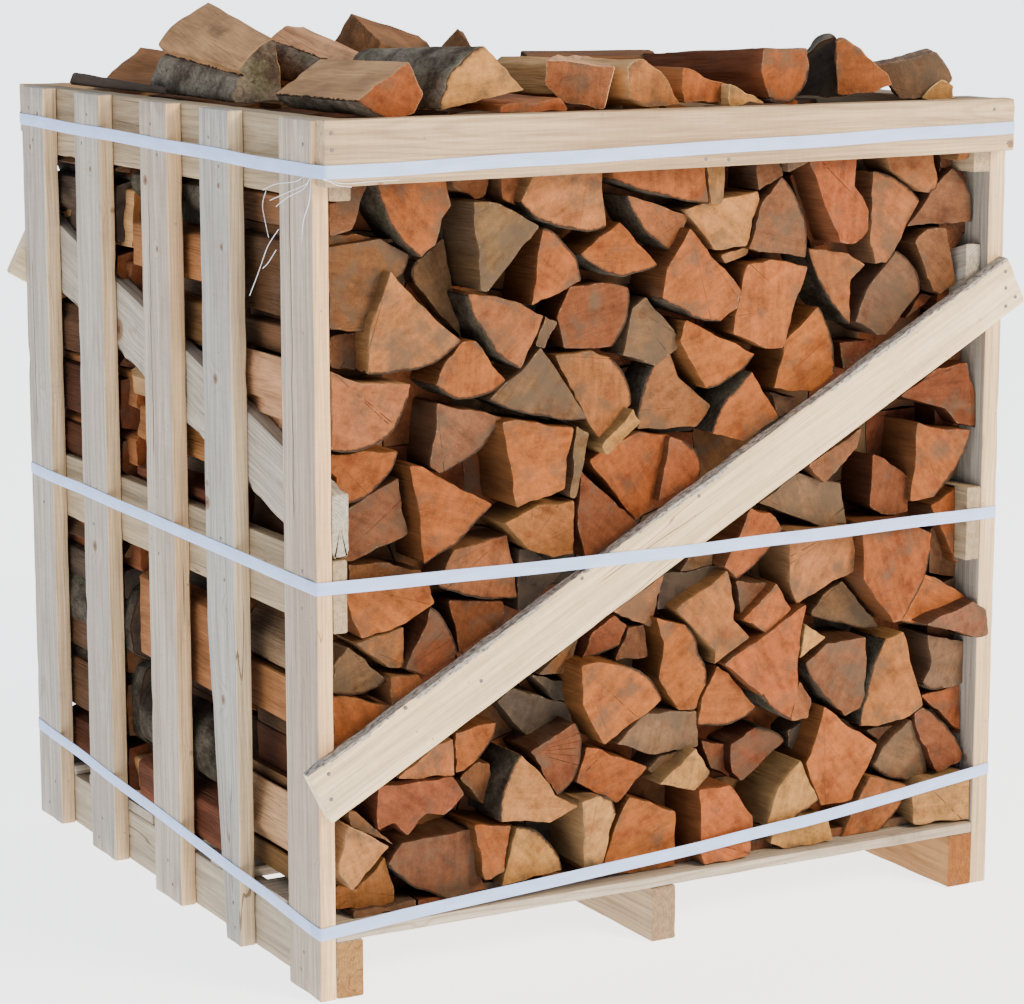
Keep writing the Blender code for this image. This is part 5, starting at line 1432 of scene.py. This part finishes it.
@dataclass
class LoosePile:
    """The billets thrown on top, one piece each."""

    bow: float = 0.06
    # Painted light: the loose billets' split faces are lightened as if lit, unlike the rows' shaded ones.
    side_painted_shading: Colour = (1.75, 1.95, 1.95)
    bark_painted_shading: float = 1.0
    stations: tuple = (0.004, 0.03, 0.08, 0.16, 0.27, 0.4, 0.55, 0.7, 0.85, 0.96, 0.996)

    def build(self, finishes: list) -> None:
        """Grows each loose billet into a piece of its own.

        Args:
            finishes: The billets' finishes, in the order of Coat.
        """
        for index, (tones, bark, lie, *corners) in enumerate(LOOSE, start=1):
            near, far = self.ends(lie, np.array(corners, float))
            end, side = map(Timber, tones[:2])
            bulge = self.bow * np.ptp(near[:, 2])
            billet = Billet(near, far, bark, bulge, end, side, 60000 + 17 * index, around=64,
                            stations=self.stations, tilt=0.02, boxed=False, bark_end=tones.endswith("+"),
                            side_painted_shading=self.side_painted_shading, bark_painted_shading=self.bark_painted_shading)
            skin = Skin()
            billet.grow(skin)
            settle(skin.to_object(f"loose_log_{index}", finishes), [f"loose_billet_{index}"])

    @staticmethod
    def ends(lie: tuple, corners: np.ndarray) -> tuple[np.ndarray, np.ndarray]:
        """Near and far corners of a billet that lies at an angle.

        Args:
            lie: The (x, y) of the near end, length, yaw, pitch and the far end's scale.
            corners: (distance across, height) of the near corners, in centimetres.

        Returns:
            Two arrays (corners, 3) in metres.
        """
        x, y, length, yaw, pitch, far_scale = lie
        yaw, pitch = math.radians(yaw), math.radians(pitch)
        side = np.array([math.cos(yaw), -math.sin(yaw), 0])
        level = np.array([math.sin(yaw), math.cos(yaw), 0])
        along = level * length * math.cos(pitch) + UP * length * math.sin(pitch)
        middle = corners.mean(0)
        near, far = ((x, y, 0) + flat[:, :1] * side + flat[:, 1:] * UP
                     for flat in (corners, middle + (corners - middle) * far_scale))
        return near * CM, (far + along) * CM


# ---------------------------------------------------------------- boards
@dataclass(frozen=True)
class Plank:
    """A sawn board, as a rounded rectangle carried between its two long edges.

    edge_a and edge_b are the middles of its long narrow faces (stations, 3), and depth is the
    vector through its thickness. wear is how deep saw marks and dents go, wane how deep the
    rough edge along edge_b. The long edges take a further tint that is painted light, and the
    ends a further tint of their own.
    """

    edge_a: np.ndarray
    edge_b: np.ndarray
    depth: np.ndarray
    seed: int
    tint: Colour = WHITE
    wear: float = 0.5 * MM
    wane: float = 0.0
    edge_painted_light: Colour = WHITE
    end_tint: Colour = WHITE
    cap_scales: ClassVar[tuple] = (0.30, 0.70, 0.94)

    def grow(self, skin: Skin) -> None:
        """Adds the board to a skin.

        A ring is centre(s) + p . half width(s) + q . half thickness, with (p, q) round a
        rectangle whose corners are rounded, less the wear. Each end closes in rings that
        shrink to its middle.

        Args:
            skin: The skin that takes it.
        """
        rng = np.random.default_rng(self.seed)
        half, centre = (self.edge_b - self.edge_a) / 2, (self.edge_a + self.edge_b) / 2
        half_width, half_depth = float(lengths_of(half)[:, 0].max()), float(lengths_of(self.depth)[0]) / 2
        flat, normals, corner = self._section(half_width, half_depth)
        width_way, depth_way = units(half)[:, None], units(self.depth)
        sizes = (lengths_of(half) / half_width)[:, None]
        rings = centre[:, None] + width_way * sizes * flat[:, :1] + depth_way * flat[:, 1:]
        run = run_along(centre)
        grid = np.insert(np.tile(flat, (len(run), 1, 1)), 2, run[:, None], axis=2)
        outward = width_way * normals[:, :1] + depth_way * normals[:, 1:]
        rings = rings - outward * self._worn(grid, corner, half_width)[..., None]

        caps, poles = [], []
        for end, inward in ((0, centre[1] - centre[0]), (-1, centre[-2] - centre[-1])):
            middle = rings[end].mean(0)
            spoke = rings[end] - middle
            rim = middle + spoke * (1 - 1.2 * MM / lengths_of(spoke))
            caps.append(np.stack([middle + (rim - middle) * scale for scale in (*self.cap_scales, 1.0)]))
            poles.append(caps[-1][0].mean(0))
            rings[end] += units(inward) * 1.0 * MM
        sheets = np.concatenate([caps[0], rings, caps[1][::-1]])

        pith = np.array([rng.uniform(-0.6, 0.6) * half_width, rng.choice([-1, 1]) * rng.uniform(0.02, 0.07)])
        scales = np.array([*self.cap_scales, 1.0, *np.ones(len(rings)), 1.0, *self.cap_scales[::-1]])
        owner = np.clip(np.arange(len(sheets)) - len(caps[0]), 0, len(rings) - 1)
        shift = self.seed * 0.73 % 50
        across = flat * scales[:, None, None]
        grain = np.insert(across - pith, 2, (run[owner] + shift)[:, None], axis=2)
        edge_away = half_width - across[..., :1].reshape(-1, 1)
        marks = {
            "grain": np.concatenate([grain.reshape(-1, 3), [grain[0].mean(0), grain[-1].mean(0)]]),
            "tint": self._tints(flat, half_width, len(sheets)),
            "edge_away": np.concatenate([edge_away, np.full((2, 1), half_width)]),
        }
        skin.add_closed_tube(sheets, np.stack(poles), marks)

    def _worn(self, grid: np.ndarray, corner: np.ndarray, half_width: float) -> np.ndarray:
        """How far noise pushes the skin in, and never out, so that a board keeps within its node.

        Args:
            grid: The place within the board (stations, around, 3).
            corner: One at the long edges, which get nicks, and zero elsewhere.
            half_width: Half the board's width.

        Returns:
            The depth of the wear (stations, around).
        """
        dents = np.clip(ripple(grid * (1, 1, 0.5), self.seed, 0.035), 0, 2) * self.wear
        nicks = np.clip(ripple(grid, self.seed + 5, 0.02) - 1.1, 0, 1) * corner * 2.5 * MM
        near_edge = np.clip((grid[..., 0] / half_width - 0.80) / 0.2, 0, 1)
        lumps = 0.55 + 0.45 * ripple(grid, self.seed + 6, 0.03)
        return dents + nicks + near_edge * np.clip(lumps, 0.1, 1.2) * self.wane

    def _tints(self, flat: np.ndarray, half_width: float, sheets: int) -> np.ndarray:
        """The tint of each point: the board's own, times the edge's painted light or the end's tint where it
        is one.

        Args:
            flat: The section's points.
            half_width: Half the board's width.
            sheets: How many rings the board has, its ends' among them.

        Returns:
            Colours with an alpha of one, the two poles' last.
        """
        on_edge = (np.abs(flat[:, 0]) > half_width - 1 * MM)[:, None]
        grid = np.tile(np.where(on_edge, self.edge_painted_light, WHITE), (sheets, 1, 1))
        capped = len(self.cap_scales) + 1
        grid[:capped] = grid[-capped:] = self.end_tint
        colours = np.concatenate([grid.reshape(-1, 3), np.tile(self.end_tint, (2, 1))]) * self.tint
        return np.insert(colours, 3, 1.0, axis=1)

    @staticmethod
    def _section(half_width: float, half_depth: float) -> tuple[np.ndarray, np.ndarray, np.ndarray]:
        """A rounded rectangle: evenly spaced points along its sides and one in the middle of each arc.

        Each side is worked out below the middle, with the arc at its end, and then turned to
        its place by quarter turns.

        Args:
            half_width: Half its width.
            half_depth: Half its height.

        Returns:
            Its points, their outward normals, and one at the ends of each side and at the arcs.
        """
        radius = min(2.2 * MM, half_depth * 0.4)
        points, normals, corner = [], [], []
        sides = ((half_width, half_depth, 9), (half_depth, half_width, 4)) * 2
        for quarter, (reach, out, count) in enumerate(sides):
            turn = np.rint(turned_by(90 * quarter)).T
            steps = np.linspace(-1, 1, count) * (reach - radius)
            slant = math.sqrt(0.5)
            cut = radius * (1 - slant)
            points.append(np.array([*((step, -out) for step in steps), (reach - cut, cut - out)]) @ turn)
            normals.append(np.array([*[(0, -1)] * count, (slant, -slant)]) @ turn)
            corner.append(np.r_[1.0, np.zeros(count - 2), 1.0, 1.0])
        return np.concatenate(points), np.concatenate(normals), np.concatenate(corner)


def straight_edges(start_a: tuple, end_a: tuple, start_b: tuple, end_b: tuple,
                   spacing: float = 0.022) -> tuple[np.ndarray, np.ndarray]:
    """Stations along two straight edges, evenly spaced.

    Args:
        start_a: Start of the first edge.
        end_a: Its end.
        start_b: Start of the second edge.
        end_b: Its end.
        spacing: About how far apart the stations are.

    Returns:
        The points of each edge (stations, 3).
    """
    ends = [np.array(point, float) for point in (start_a, end_a, start_b, end_b)]
    count = max(6, int(np.linalg.norm(ends[1] - ends[0]) / spacing))
    steps = np.linspace(0, 1, count)[:, None]
    return ends[0] * (1 - steps) + ends[1] * steps, ends[2] * (1 - steps) + ends[3] * steps


def box_plank(node: str, length_axis: int, width_axis: int, seed: int, **looks: Colour | float) -> Plank:
    """A square-edged board that fills a node's box.

    Args:
        node: The frame's node.
        length_axis: The axis along the board: 0, 1 or 2.
        width_axis: The axis across its wide face.
        seed: Picks the board's own noise.
        **looks: Further fields of Plank.

    Returns:
        The board.
    """
    low, high = (np.array(corner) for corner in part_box(node))
    depth_axis = 3 - length_axis - width_axis
    start_a = low.copy()
    start_a[depth_axis] = (low[depth_axis] + high[depth_axis]) / 2
    end_a = start_a.copy()
    end_a[length_axis] = high[length_axis]
    start_b, end_b = start_a.copy(), end_a.copy()
    start_b[width_axis] = end_b[width_axis] = high[width_axis]
    depth = (high - low) * (np.arange(3) == depth_axis)
    return Plank(*straight_edges(start_a, end_a, start_b, end_b), depth, seed, **looks)


def show_board(node: str, plank: Plank, material: Material) -> None:
    """Makes one board's piece and lets it stand for its node.

    Args:
        node: The frame's node.
        plank: The board.
        material: Its finish.
    """
    skin = Skin()
    plank.grow(skin)
    settle(skin.to_object(f"{node}_sawn", [material]), [node])


@dataclass
class Pallet:
    """Three stringers under a deck of seven boards, with a tint for each stringer and its ends."""

    stringers: tuple = (("left", (0.66, 0.70, 0.76), (0.74, 0.46, 0.22)),
                        ("middle", (0.60, 0.56, 0.54), (0.74, 0.67, 0.62)),
                        ("right", (0.50, 0.34, 0.21), (0.74, 0.50, 0.28)))
    deck_boards: int = 7
    deck_tint: Colour = (1.03, 0.98, 0.94)

    def build(self, pine: Material, weathered: Material) -> None:
        """Makes the stringers and the deck.

        Args:
            pine: The stringers' finish.
            weathered: The deck's finish.
        """
        for index, (side, tint, end_tint) in enumerate(self.stringers):
            node = f"stringer_{side}"
            plank = box_plank(node, 1, 2, 300 + index, tint=tint, end_tint=end_tint)
            show_board(node, plank, pine)
        rng = np.random.default_rng(77)
        for index in range(self.deck_boards):
            node = f"deck_board_{index + 1}"
            tint = tuple(rng.uniform(0.92, 1.12) * np.array(self.deck_tint))
            show_board(node, box_plank(node, 0, 1, 320 + index, tint=tint), weathered)


@dataclass
class SideWall:
    """One slatted wall: five slats outside, a top board, a mid rail and a slanting board inside."""

    side: str
    sign: int
    diagonal: tuple
    # Painted shade: the right wall's slats are darkened by this factor.
    shade: float = 1.0
    tapered_slat: int = 4
    taper_start: float = 0.43
    tapered_foot: float = 0.047
    # The slats' wide faces are greyed and cooled, partly grey weathering and partly painted shade; their
    # narrow edges are lightened and warmed as painted light.
    slat_grey_and_painted_shade: Colour = (0.64, 0.73, 0.93)
    slat_casts: tuple = ((0.98, 0.98, 1.00), (0.96, 0.96, 0.97), (1.03, 0.98, 0.94), (0.94, 1.00, 1.08),
                         (1.06, 0.98, 0.93))
    edge_painted_light: Colour = (1.88, 1.52, 1.06)
    board_tint: Colour = (0.57, 0.55, 0.52)

    def build(self, pine: Material, weathered: Material) -> None:
        """Makes the wall's boards.

        Args:
            pine: The finish of its straight boards.
            weathered: The finish of the slanting one.
        """
        rng = np.random.default_rng(90 + self.sign)
        for index, cast in enumerate(self.slat_casts, start=1):
            node = f"side_slat_{self.side}_{index}"
            seed = 400 + 20 * self.sign + index
            tint = tuple(np.array(self.slat_grey_and_painted_shade) * rng.uniform(0.96, 1.03) * (np.array(cast) * self.shade))
            straight = partial(box_plank, length_axis=2, width_axis=1)
            make = self._tapered if index == self.tapered_slat else straight
            show_board(node, make(node, seed=seed, tint=tint, edge_painted_light=self.edge_painted_light), pine)
        for index, part in enumerate(("side_top_board", "side_mid_rail")):
            node = f"{part}_{self.side}"
            plank = box_plank(node, 1, 2, 440 + 10 * self.sign + index, tint=self.board_tint)
            show_board(node, plank, pine)
        node = f"side_diagonal_{self.side}"
        show_board(node, self._diagonal(node), weathered)

    @staticmethod
    def _upright(node: str, edges: tuple, heights: tuple, **looks: Colour | float) -> Plank:
        """A board whose wide faces look along x, within its node's thickness.

        Args:
            node: The frame's node.
            edges: The y of both long edges, station by station.
            heights: The z of both.
            **looks: Further fields of Plank.

        Returns:
            The board.
        """
        low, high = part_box(node)
        x = np.full(len(edges[0]), (low.x + high.x) / 2)
        both = (np.stack([x, y, z], -1) for y, z in zip(edges, heights))
        return Plank(*both, np.array([high.x - low.x, 0, 0]), **looks)

    def _tapered(self, node: str, **looks: Colour | float) -> Plank:
        """The slat that narrows from its shoulder to its foot, on the edge nearer the back.

        Args:
            node: The frame's node.
            **looks: Further fields of Plank.

        Returns:
            The slat.
        """
        low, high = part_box(node)
        heights = np.linspace(low.z, high.z, 50)
        lost = (high.y - low.y - self.tapered_foot) * np.clip(1 - heights / self.taper_start, 0, 1)
        straight, narrowed = (low.y, high.y - lost) if self.sign < 0 else (high.y, low.y + lost)
        edges = (np.full(len(heights), straight), narrowed)
        return self._upright(node, edges, (heights, heights), **looks)

    def _diagonal(self, node: str) -> Plank:
        """The slanting board, cut off level on top of the mid rail.

        Args:
            node: The frame's node.

        Returns:
            The board.
        """
        (y0, z0), (y1, z1) = self.diagonal
        slope = (z1 - z0) / (y1 - y0)
        half = DIAGONAL_WIDTH / 2 * math.hypot(1, slope)
        y = np.linspace(y0, y1, 56)
        middle = z0 + (y - y0) * slope
        lower = np.maximum(middle - half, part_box(node)[0].z)
        return self._upright(node, (y, y), (middle + half, lower), seed=470 + self.sign,
                             wear=1.2 * MM, wane=6 * MM)


@dataclass
class EndFace:
    """The front or the back: a top rail and a slanting brace nailed over the slats."""

    end: str
    turn: int
    rail_tint: Colour = (0.76, 0.70, 0.65)
    brace_tint: Colour = (1.10, 1.04, 0.91)

    def build(self, pine: Material, brace_finish: Material) -> None:
        """Makes the rail and the brace.

        Args:
            pine: The rail's finish.
            brace_finish: The brace's.
        """
        rail = self._plate(RAIL_OUTLINE, RAIL_FRONT, seed=500 + self.turn, tint=self.rail_tint)
        brace = self._plate(BRACE_OUTLINE, BRACE_FRONT, seed=510 + self.turn, wane=2.2 * MM,
                            tint=self.brace_tint)
        show_board(f"top_rail_{self.end}", rail, pine)
        show_board(f"brace_{self.end}", brace, brace_finish)

    def _plate(self, outline: tuple, front: float, **looks: Colour | float) -> Plank:
        """A board between the slats' front plane and its own front face.

        Args:
            outline: Its corners (x, z): lower left and right, then upper left and right.
            front: The y of its front face.
            **looks: Further fields of Plank.

        Returns:
            The board.
        """
        middle, depth = (front + FRONT_PLANE) / 2, FRONT_PLANE - front
        corners = [(self.turn * x, self.turn * middle, z) for x, z in outline]
        return Plank(*straight_edges(*corners), np.array([0, self.turn * depth, 0]), **looks)


# ---------------------------------------------------------------- straps, nails and fibres
def outward_of(ways: np.ndarray) -> np.ndarray:
    """Each level direction turned outwards, a quarter turn to its right."""
    return np.stack([ways[:, 1], -ways[:, 0], np.zeros(len(ways))], -1)


def ring_round(line: np.ndarray, side: np.ndarray, other: np.ndarray, radius: float,
               sides: int) -> np.ndarray:
    """Circles round a line's points: point + radius . (side cos t + other sin t).

    Args:
        line: The points (stations, 3).
        side: One direction across the line, for each point or for all.
        other: The other one.
        radius: The circles' radius.
        sides: How many points each circle has.

    Returns:
        Rings of points (stations, sides, 3).
    """
    turn = np.linspace(0, TAU, sides, endpoint=False)[:, None]
    return line[:, None] + radius * (side[..., None, :] * np.cos(turn) + other[..., None, :] * np.sin(turn))


@dataclass
class Strap:
    """A plastic band drawn tight round the crate, turning each corner on a small radius."""

    node: str
    stations: tuple
    seed: int
    width: float = 0.0165
    thickness: float = 0.001
    corner_radius: float = 0.004
    section: tuple = ((0, 0), (0.12, 0), (0.5, 0), (0.88, 0), (1, 0), (1, 0.65), (0.88, 0.9), (0.5, 1),
                      (0.12, 0.9), (0, 0.65))

    def build(self, material: Material) -> None:
        """Carries the thin upright section round the path.

        Args:
            material: The band's finish.
        """
        path = self._path()
        outward = outward_of(units((np.roll(path, -1, axis=0) - np.roll(path, 1, axis=0)) * (1, 1, 0)))
        run = run_along(path)
        high, out = np.array(self.section, float).T
        lift = high * self.width + ripple(run[:, None], self.seed, 0.30)[:, None] * 0.5 * MM
        band = path[:, None] + UP * lift[..., None] + outward[:, None] * (out * self.thickness)[:, None]
        grid = np.arange(band.shape[0] * band.shape[1]).reshape(band.shape[:2])
        after = np.roll(grid, -1, axis=0)
        quads = np.stack([grid, after, np.roll(after, -1, axis=1), np.roll(grid, -1, axis=1)], -1)
        face = np.repeat([0.0, 1.0], len(high) // 2)
        grain = np.stack(np.broadcast_arrays(run[:, None], high * self.width, face), -1)
        skin = Skin()
        skin.add_quads(band.reshape(-1, 3), quads.reshape(-1, 4), {"grain": grain.reshape(-1, 3)})
        settle(skin.to_object(f"{self.node}_band", [material], 60), [self.node])

    def _path(self) -> np.ndarray:
        """The band's inner lower edge: stations pushed out by the gap, corners cut and filled.

        A corner is replaced by a quadratic curve from a radius before it to a radius after it,
        and long runs get a point every few centimetres.

        Returns:
            The points (stations, 3), not closed.
        """
        points = np.array(self.stations, float)
        before, after = np.roll(points, 1, axis=0), np.roll(points, -1, axis=0)
        come_out, leave_out = (outward_of(units(way * (1, 1, 0)))
                               for way in (points - before, after - points))
        spread = 1 + (come_out * leave_out).sum(1, keepdims=True)
        points = points + (come_out + leave_out) * GAP / spread
        path = []
        bend = np.linspace(0, 1, 5)[:, None]
        neighbours = np.roll(points, 1, axis=0), points, np.roll(points, -1, axis=0)
        for previous, point, following in zip(*neighbours):
            radius = min(self.corner_radius, np.linalg.norm(point - previous) / 3)
            come = point + units(previous - point) * radius
            leave = point + units(following - point) * radius
            path.append(come * (1 - bend) ** 2 + point * 2 * bend * (1 - bend) + leave * bend ** 2)
            steps = np.arange(1, max(2, int(np.linalg.norm(following - point) / 0.025)))
            share = (steps / (steps[-1] + 1))[:, None]
            goal = following + units(point - following) * self.corner_radius
            path.append(leave * (1 - share) + goal * share)
        return np.concatenate(path)


STRAPS = {
    "strap_top": (
        (-0.525, -0.500, 1.0405), (-0.520, RAIL_FRONT, 1.0405), (0.000, RAIL_FRONT, 1.052),
        (0.517, RAIL_FRONT, 1.0645), (0.525, -0.500, 1.065), (0.525, 0.500, 1.060),
        (0.520, -RAIL_FRONT, 1.060), (-0.517, -RAIL_FRONT, 1.054), (-0.525, 0.500, 1.053)),
    "strap_middle": (
        (-0.525, -0.500, 0.526), (-0.148, BRACE_FRONT, 0.527), (0.048, BRACE_FRONT, 0.528),
        (0.525, -0.500, 0.529), (0.525, 0.500, 0.529), (0.148, -BRACE_FRONT, 0.529),
        (-0.048, -BRACE_FRONT, 0.529), (-0.525, 0.500, 0.529)),
    "strap_bottom": (
        (-0.525, -0.500, 0.081), (-0.413, -0.500, 0.089), (-0.160, -0.500, 0.102),
        (0.041, -0.500, 0.113), (0.215, -0.500, 0.126), (0.372, -0.500, 0.141),
        (0.525, -0.500, 0.159), (0.525, 0.500, 0.155), (-0.525, 0.500, 0.131)),
}


@dataclass
class NailHeads:
    """Flat steel nail heads, driven just below the wood, in one piece."""

    radius: float = 0.0028
    dome: float = 0.0006
    slat_levels: tuple = (1.075, 1.035, 0.545, 0.497, 0.055, 0.025)
    rail: tuple = ((-0.511, 1.096), (-0.510, 1.076), (0.021, 1.047), (0.056, 1.045), (0.482, 1.098),
                   (0.507, 1.052))
    brace: tuple = ((-0.521, 0.304), (-0.518, 0.271), (-0.413, 0.375), (-0.305, 0.397), (-0.157, 0.515),
                    (0.020, 0.607), (0.514, 0.876), (0.515, 0.853), (0.516, 0.828), (0.532, 0.840))

    def build(self, material: Material) -> None:
        """Makes a shallow dome for each nail: rings whose radius and height follow a quarter circle.

        Args:
            material: The nails' finish.
        """
        skin = Skin()
        profile = ((0.35, 0.9), (0.75, 0.55), (1.0, 0.0), (1.0, -2.5))
        for place, way in self.places():
            place, way = np.array(place), np.array(way, float)
            side = units(np.cross(way, UP + (0.1, 0.2, 0)))
            across = np.cross(way, side)
            rings = np.concatenate([ring_round((place + way * self.dome * height)[None], side, across,
                                               self.radius * share, 8) for share, height in profile])
            poles = np.stack([place + way * self.dome, place - way * self.dome * 2.5])
            skin.add_closed_tube(rings, poles, {})
        settle(skin.to_object("nail_heads", [material]), [])

    def places(self) -> list:
        """Where the nails are and which way each one looks.

        Returns:
            A place and a direction for each nail.
        """
        made = []
        rng = np.random.default_rng(5)
        for side, sign, *_ in SIDES:
            for index in range(1, 6):
                low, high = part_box(f"side_slat_{side}_{index}")
                near, far = (low, high) if sign < 0 else (high, low)
                for level in self.slat_levels:
                    foot = 0.4 if index == 4 and level < 0.1 else 1.0
                    y = near.y + (far.y - near.y) * (rng.uniform(0.25, 0.75) * foot)
                    made.append(((near.x, y, level + rng.uniform(-0.006, 0.006)), (sign, 0, 0)))
        for turn in (1, -1):
            for nails, front in ((self.rail, RAIL_FRONT), (self.brace, BRACE_FRONT)):
                made += [((turn * x, turn * front, z), (0, -turn, 0)) for x, z in nails]
        return made


@dataclass
class FrayedFibres:
    """Loose white strands that hang from the top strap near the front left corner."""

    radius: float = 0.0005
    strands: tuple = (
        ((-527.5, -500, 1043), (-531, -496, 1034), (-533, -445, 1020), (-531, -392, 1007)),
        ((-527.5, -500, 1041), (-532, -491, 1028), (-534, -450, 1015), (-532, -412, 1001)),
        ((-527.5, -490, 1046), (-531, -470, 1036), (-532, -410, 1028), (-530, -369, 1018)),
        ((-530, -378, 1018), (-533, -374, 1000), (-532, -379, 979), (-530, -384, 960)),
        ((-530, -414, 973), (-534, -390, 950), (-534, -365, 920), (-533, -346, 900), (-530, -324, 882)),
        ((-530, -365, 920), (-533, -389, 930), (-531, -408, 947)),
        ((-526, -500, 1043), (-531, -504, 1013), (-532, -490, 990), (-530, -480, 964)),
        ((-522, -526.6, 1041), (-495, -526.6, 1035.5), (-458, -526.6, 1036.5), (-421, -526.6, 1037)),
        ((-523, -526.6, 1043), (-504, -526.6, 1034), (-485, -526.6, 1031)),
    )

    def build(self, material: Material) -> None:
        """Carries a small five-sided section along each strand.

        Args:
            material: The strands' finish.
        """
        skin = Skin()
        for strand in self.strands:
            line = self._smooth(np.array(strand, float) * MM)
            ahead = units(np.gradient(line, axis=0))
            side = units(np.cross(ahead, (0.2, 0.9, 0.3)))
            rings = ring_round(line, side, np.cross(ahead, side), self.radius, 5)
            skin.add_closed_tube(rings, line[[0, -1]], {})
        settle(skin.to_object("frayed_fibres", [material], 80), [])

    @staticmethod
    def _smooth(points: np.ndarray) -> np.ndarray:
        """A Catmull-Rom curve: each span is a cubic through its two points, aimed by their neighbours.

        Args:
            points: The points that it passes.

        Returns:
            Points along the curve, eight to a span.
        """
        padded = np.concatenate([2 * points[:1] - points[1:2], points, 2 * points[-1:] - points[-2:-1]])
        t = np.linspace(0, 1, 8, endpoint=False)[:, None]
        spans = [b + 0.5 * t * (c - a) + t ** 2 * (a - 2.5 * b + 2 * c - 0.5 * d)
                 + t ** 3 * (1.5 * b - 0.5 * a - 1.5 * c + 0.5 * d)
                 for a, b, c, d in zip(padded, padded[1:], padded[2:], padded[3:])]
        return np.concatenate([*spans, points[-1:]])


# ---------------------------------------------------------------- the studio
@dataclass
class Studio:
    """A pale floor, a bright pale room, a soft key light at the front right, and the camera."""

    eye: tuple = (-2.1177, -3.8549, 1.3287)
    yaw: float = -0.5082
    pitch: float = -0.1825
    lens: float = 107.92
    floor_size: float = 240.0
    floor_glow: float = 2.6
    room: Colour = (0.77, 0.90, 1.10)
    room_strength: float = 0.78
    aim_height: float = 0.55
    # Each light: name, place, width, power in watts and colour.
    lights: tuple = (("key", (2.4, -4.8, 3.2), 2.0, 480.0, (1.0, 0.80, 0.56)),
                     ("side_fill", (-6.0, -1.0, 2.5), 4.0, 14.0, (0.80, 0.90, 1.0)))

    def build(self) -> None:
        """Makes the camera, the lights and the floor."""
        scene = bpy.context.scene
        scene.camera = self._placed("camera", bpy.data.cameras.new("camera"), self.eye,
                                    (math.pi / 2 + self.pitch, 0, self.yaw))
        scene.camera.data.lens = self.lens
        scene.camera.data.sensor_width = 36
        scene.camera.data.clip_end = 500
        scene.world = bpy.data.worlds.new("pale_room")
        scene.world.use_nodes = True
        background = scene.world.node_tree.nodes["Background"]
        background.inputs["Color"].default_value = (*self.room, 1)
        background.inputs["Strength"].default_value = self.room_strength
        for light in self.lights:
            self._light(*light)
        self._floor()

    @staticmethod
    def _placed(name: str, data: bpy.types.ID, place: tuple, turn: tuple) -> bpy.types.Object:
        """Adds a camera or a light to the scene.

        Args:
            name: Its name.
            data: The camera or the light.
            place: Where it stands.
            turn: Its rotation, as Euler angles.

        Returns:
            The object.
        """
        made = bpy.data.objects.new(name, data)
        made.location, made.rotation_euler = place, turn
        bpy.context.scene.collection.objects.link(made)
        return made

    def _light(self, name: str, place: tuple, size: float, power: float, colour: Colour) -> None:
        """A square soft light aimed at the middle of the crate.

        Args:
            name: Its name.
            place: Where it hangs.
            size: Its width.
            power: Its power, in watts.
            colour: Its colour.
        """
        data = bpy.data.lights.new(name, "AREA")
        data.size, data.energy, data.color = size, power, colour
        aim = Vector((0, 0, self.aim_height)) - Vector(place)
        self._placed(name, data, place, aim.to_track_quat("-Z", "Y").to_euler())

    def _floor(self) -> None:
        """A wide pale floor, lifted a little by its own glow so that it stays pale."""
        sheet = NodeSheet("pale_floor")
        sheet.feed(sheet.shader, {"Emission Color": (1, 1, 1, 1), "Emission Strength": self.floor_glow})
        mottle = sheet.span(sheet.noise(sheet.place(), 1.5, 2), 0.2, 0.8, 0.98, 1.0)
        finish = sheet.finish(sheet.scale((0.9, 0.9, 0.9), mottle), 0.95)
        steps = np.linspace(-self.floor_size / 2, self.floor_size / 2, 3)
        points = np.stack(np.meshgrid(steps, steps, -0.5 * MM, indexing="ij"), -1).reshape(-1, 3)
        grid = np.arange(9).reshape(3, 3)
        quads = np.stack([grid[:-1, :-1], grid[1:, :-1], grid[1:, 1:], grid[:-1, 1:]], -1).reshape(-1, 4)
        skin = Skin()
        skin.add_quads(points, quads, {})
        skin.to_object("floor", [finish])


def main() -> None:
    """Builds the scene, sub-assembly by sub-assembly."""
    logging.basicConfig(level=logging.INFO, format="%(name)s %(message)s")
    Studio().build()
    billet_finishes = [SawnEnd().make(), SplitFace().make(), Bark().make()]
    for facing, start in ((Facing.FRONT, -0.500), (Facing.HIDDEN, -0.165), (Facing.BACK, 0.170)):
        FirewoodRow(facing, start).build(billet_finishes)
    LoosePile().build(billet_finishes)
    pine, brace, weathered = PINE.make(), BRACE.make(), WEATHERED.make()
    Pallet().build(pine, weathered)
    # The right wall's slats take painted shade.
    for (side, sign, _, diagonal), shade in zip(SIDES, (1.0, 0.86)):
        SideWall(side, sign, diagonal, shade).build(pine, weathered)
    for end, turn in (("front", 1), ("back", -1)):
        EndFace(end, turn).build(pine, brace)
    plastic = StrapPlastic().make()
    for seed, (node, stations) in enumerate(STRAPS.items(), start=1):
        Strap(node, stations, seed).build(plastic)
    NailHeads().build(PlainFinish("nail_steel", (0.16, 0.14, 0.13), 0.5, 0.7).make())
    FrayedFibres().build(PlainFinish("white_fibre", (0.72, 0.74, 0.78), 0.6).make())


if __name__ == "__main__":
    main()
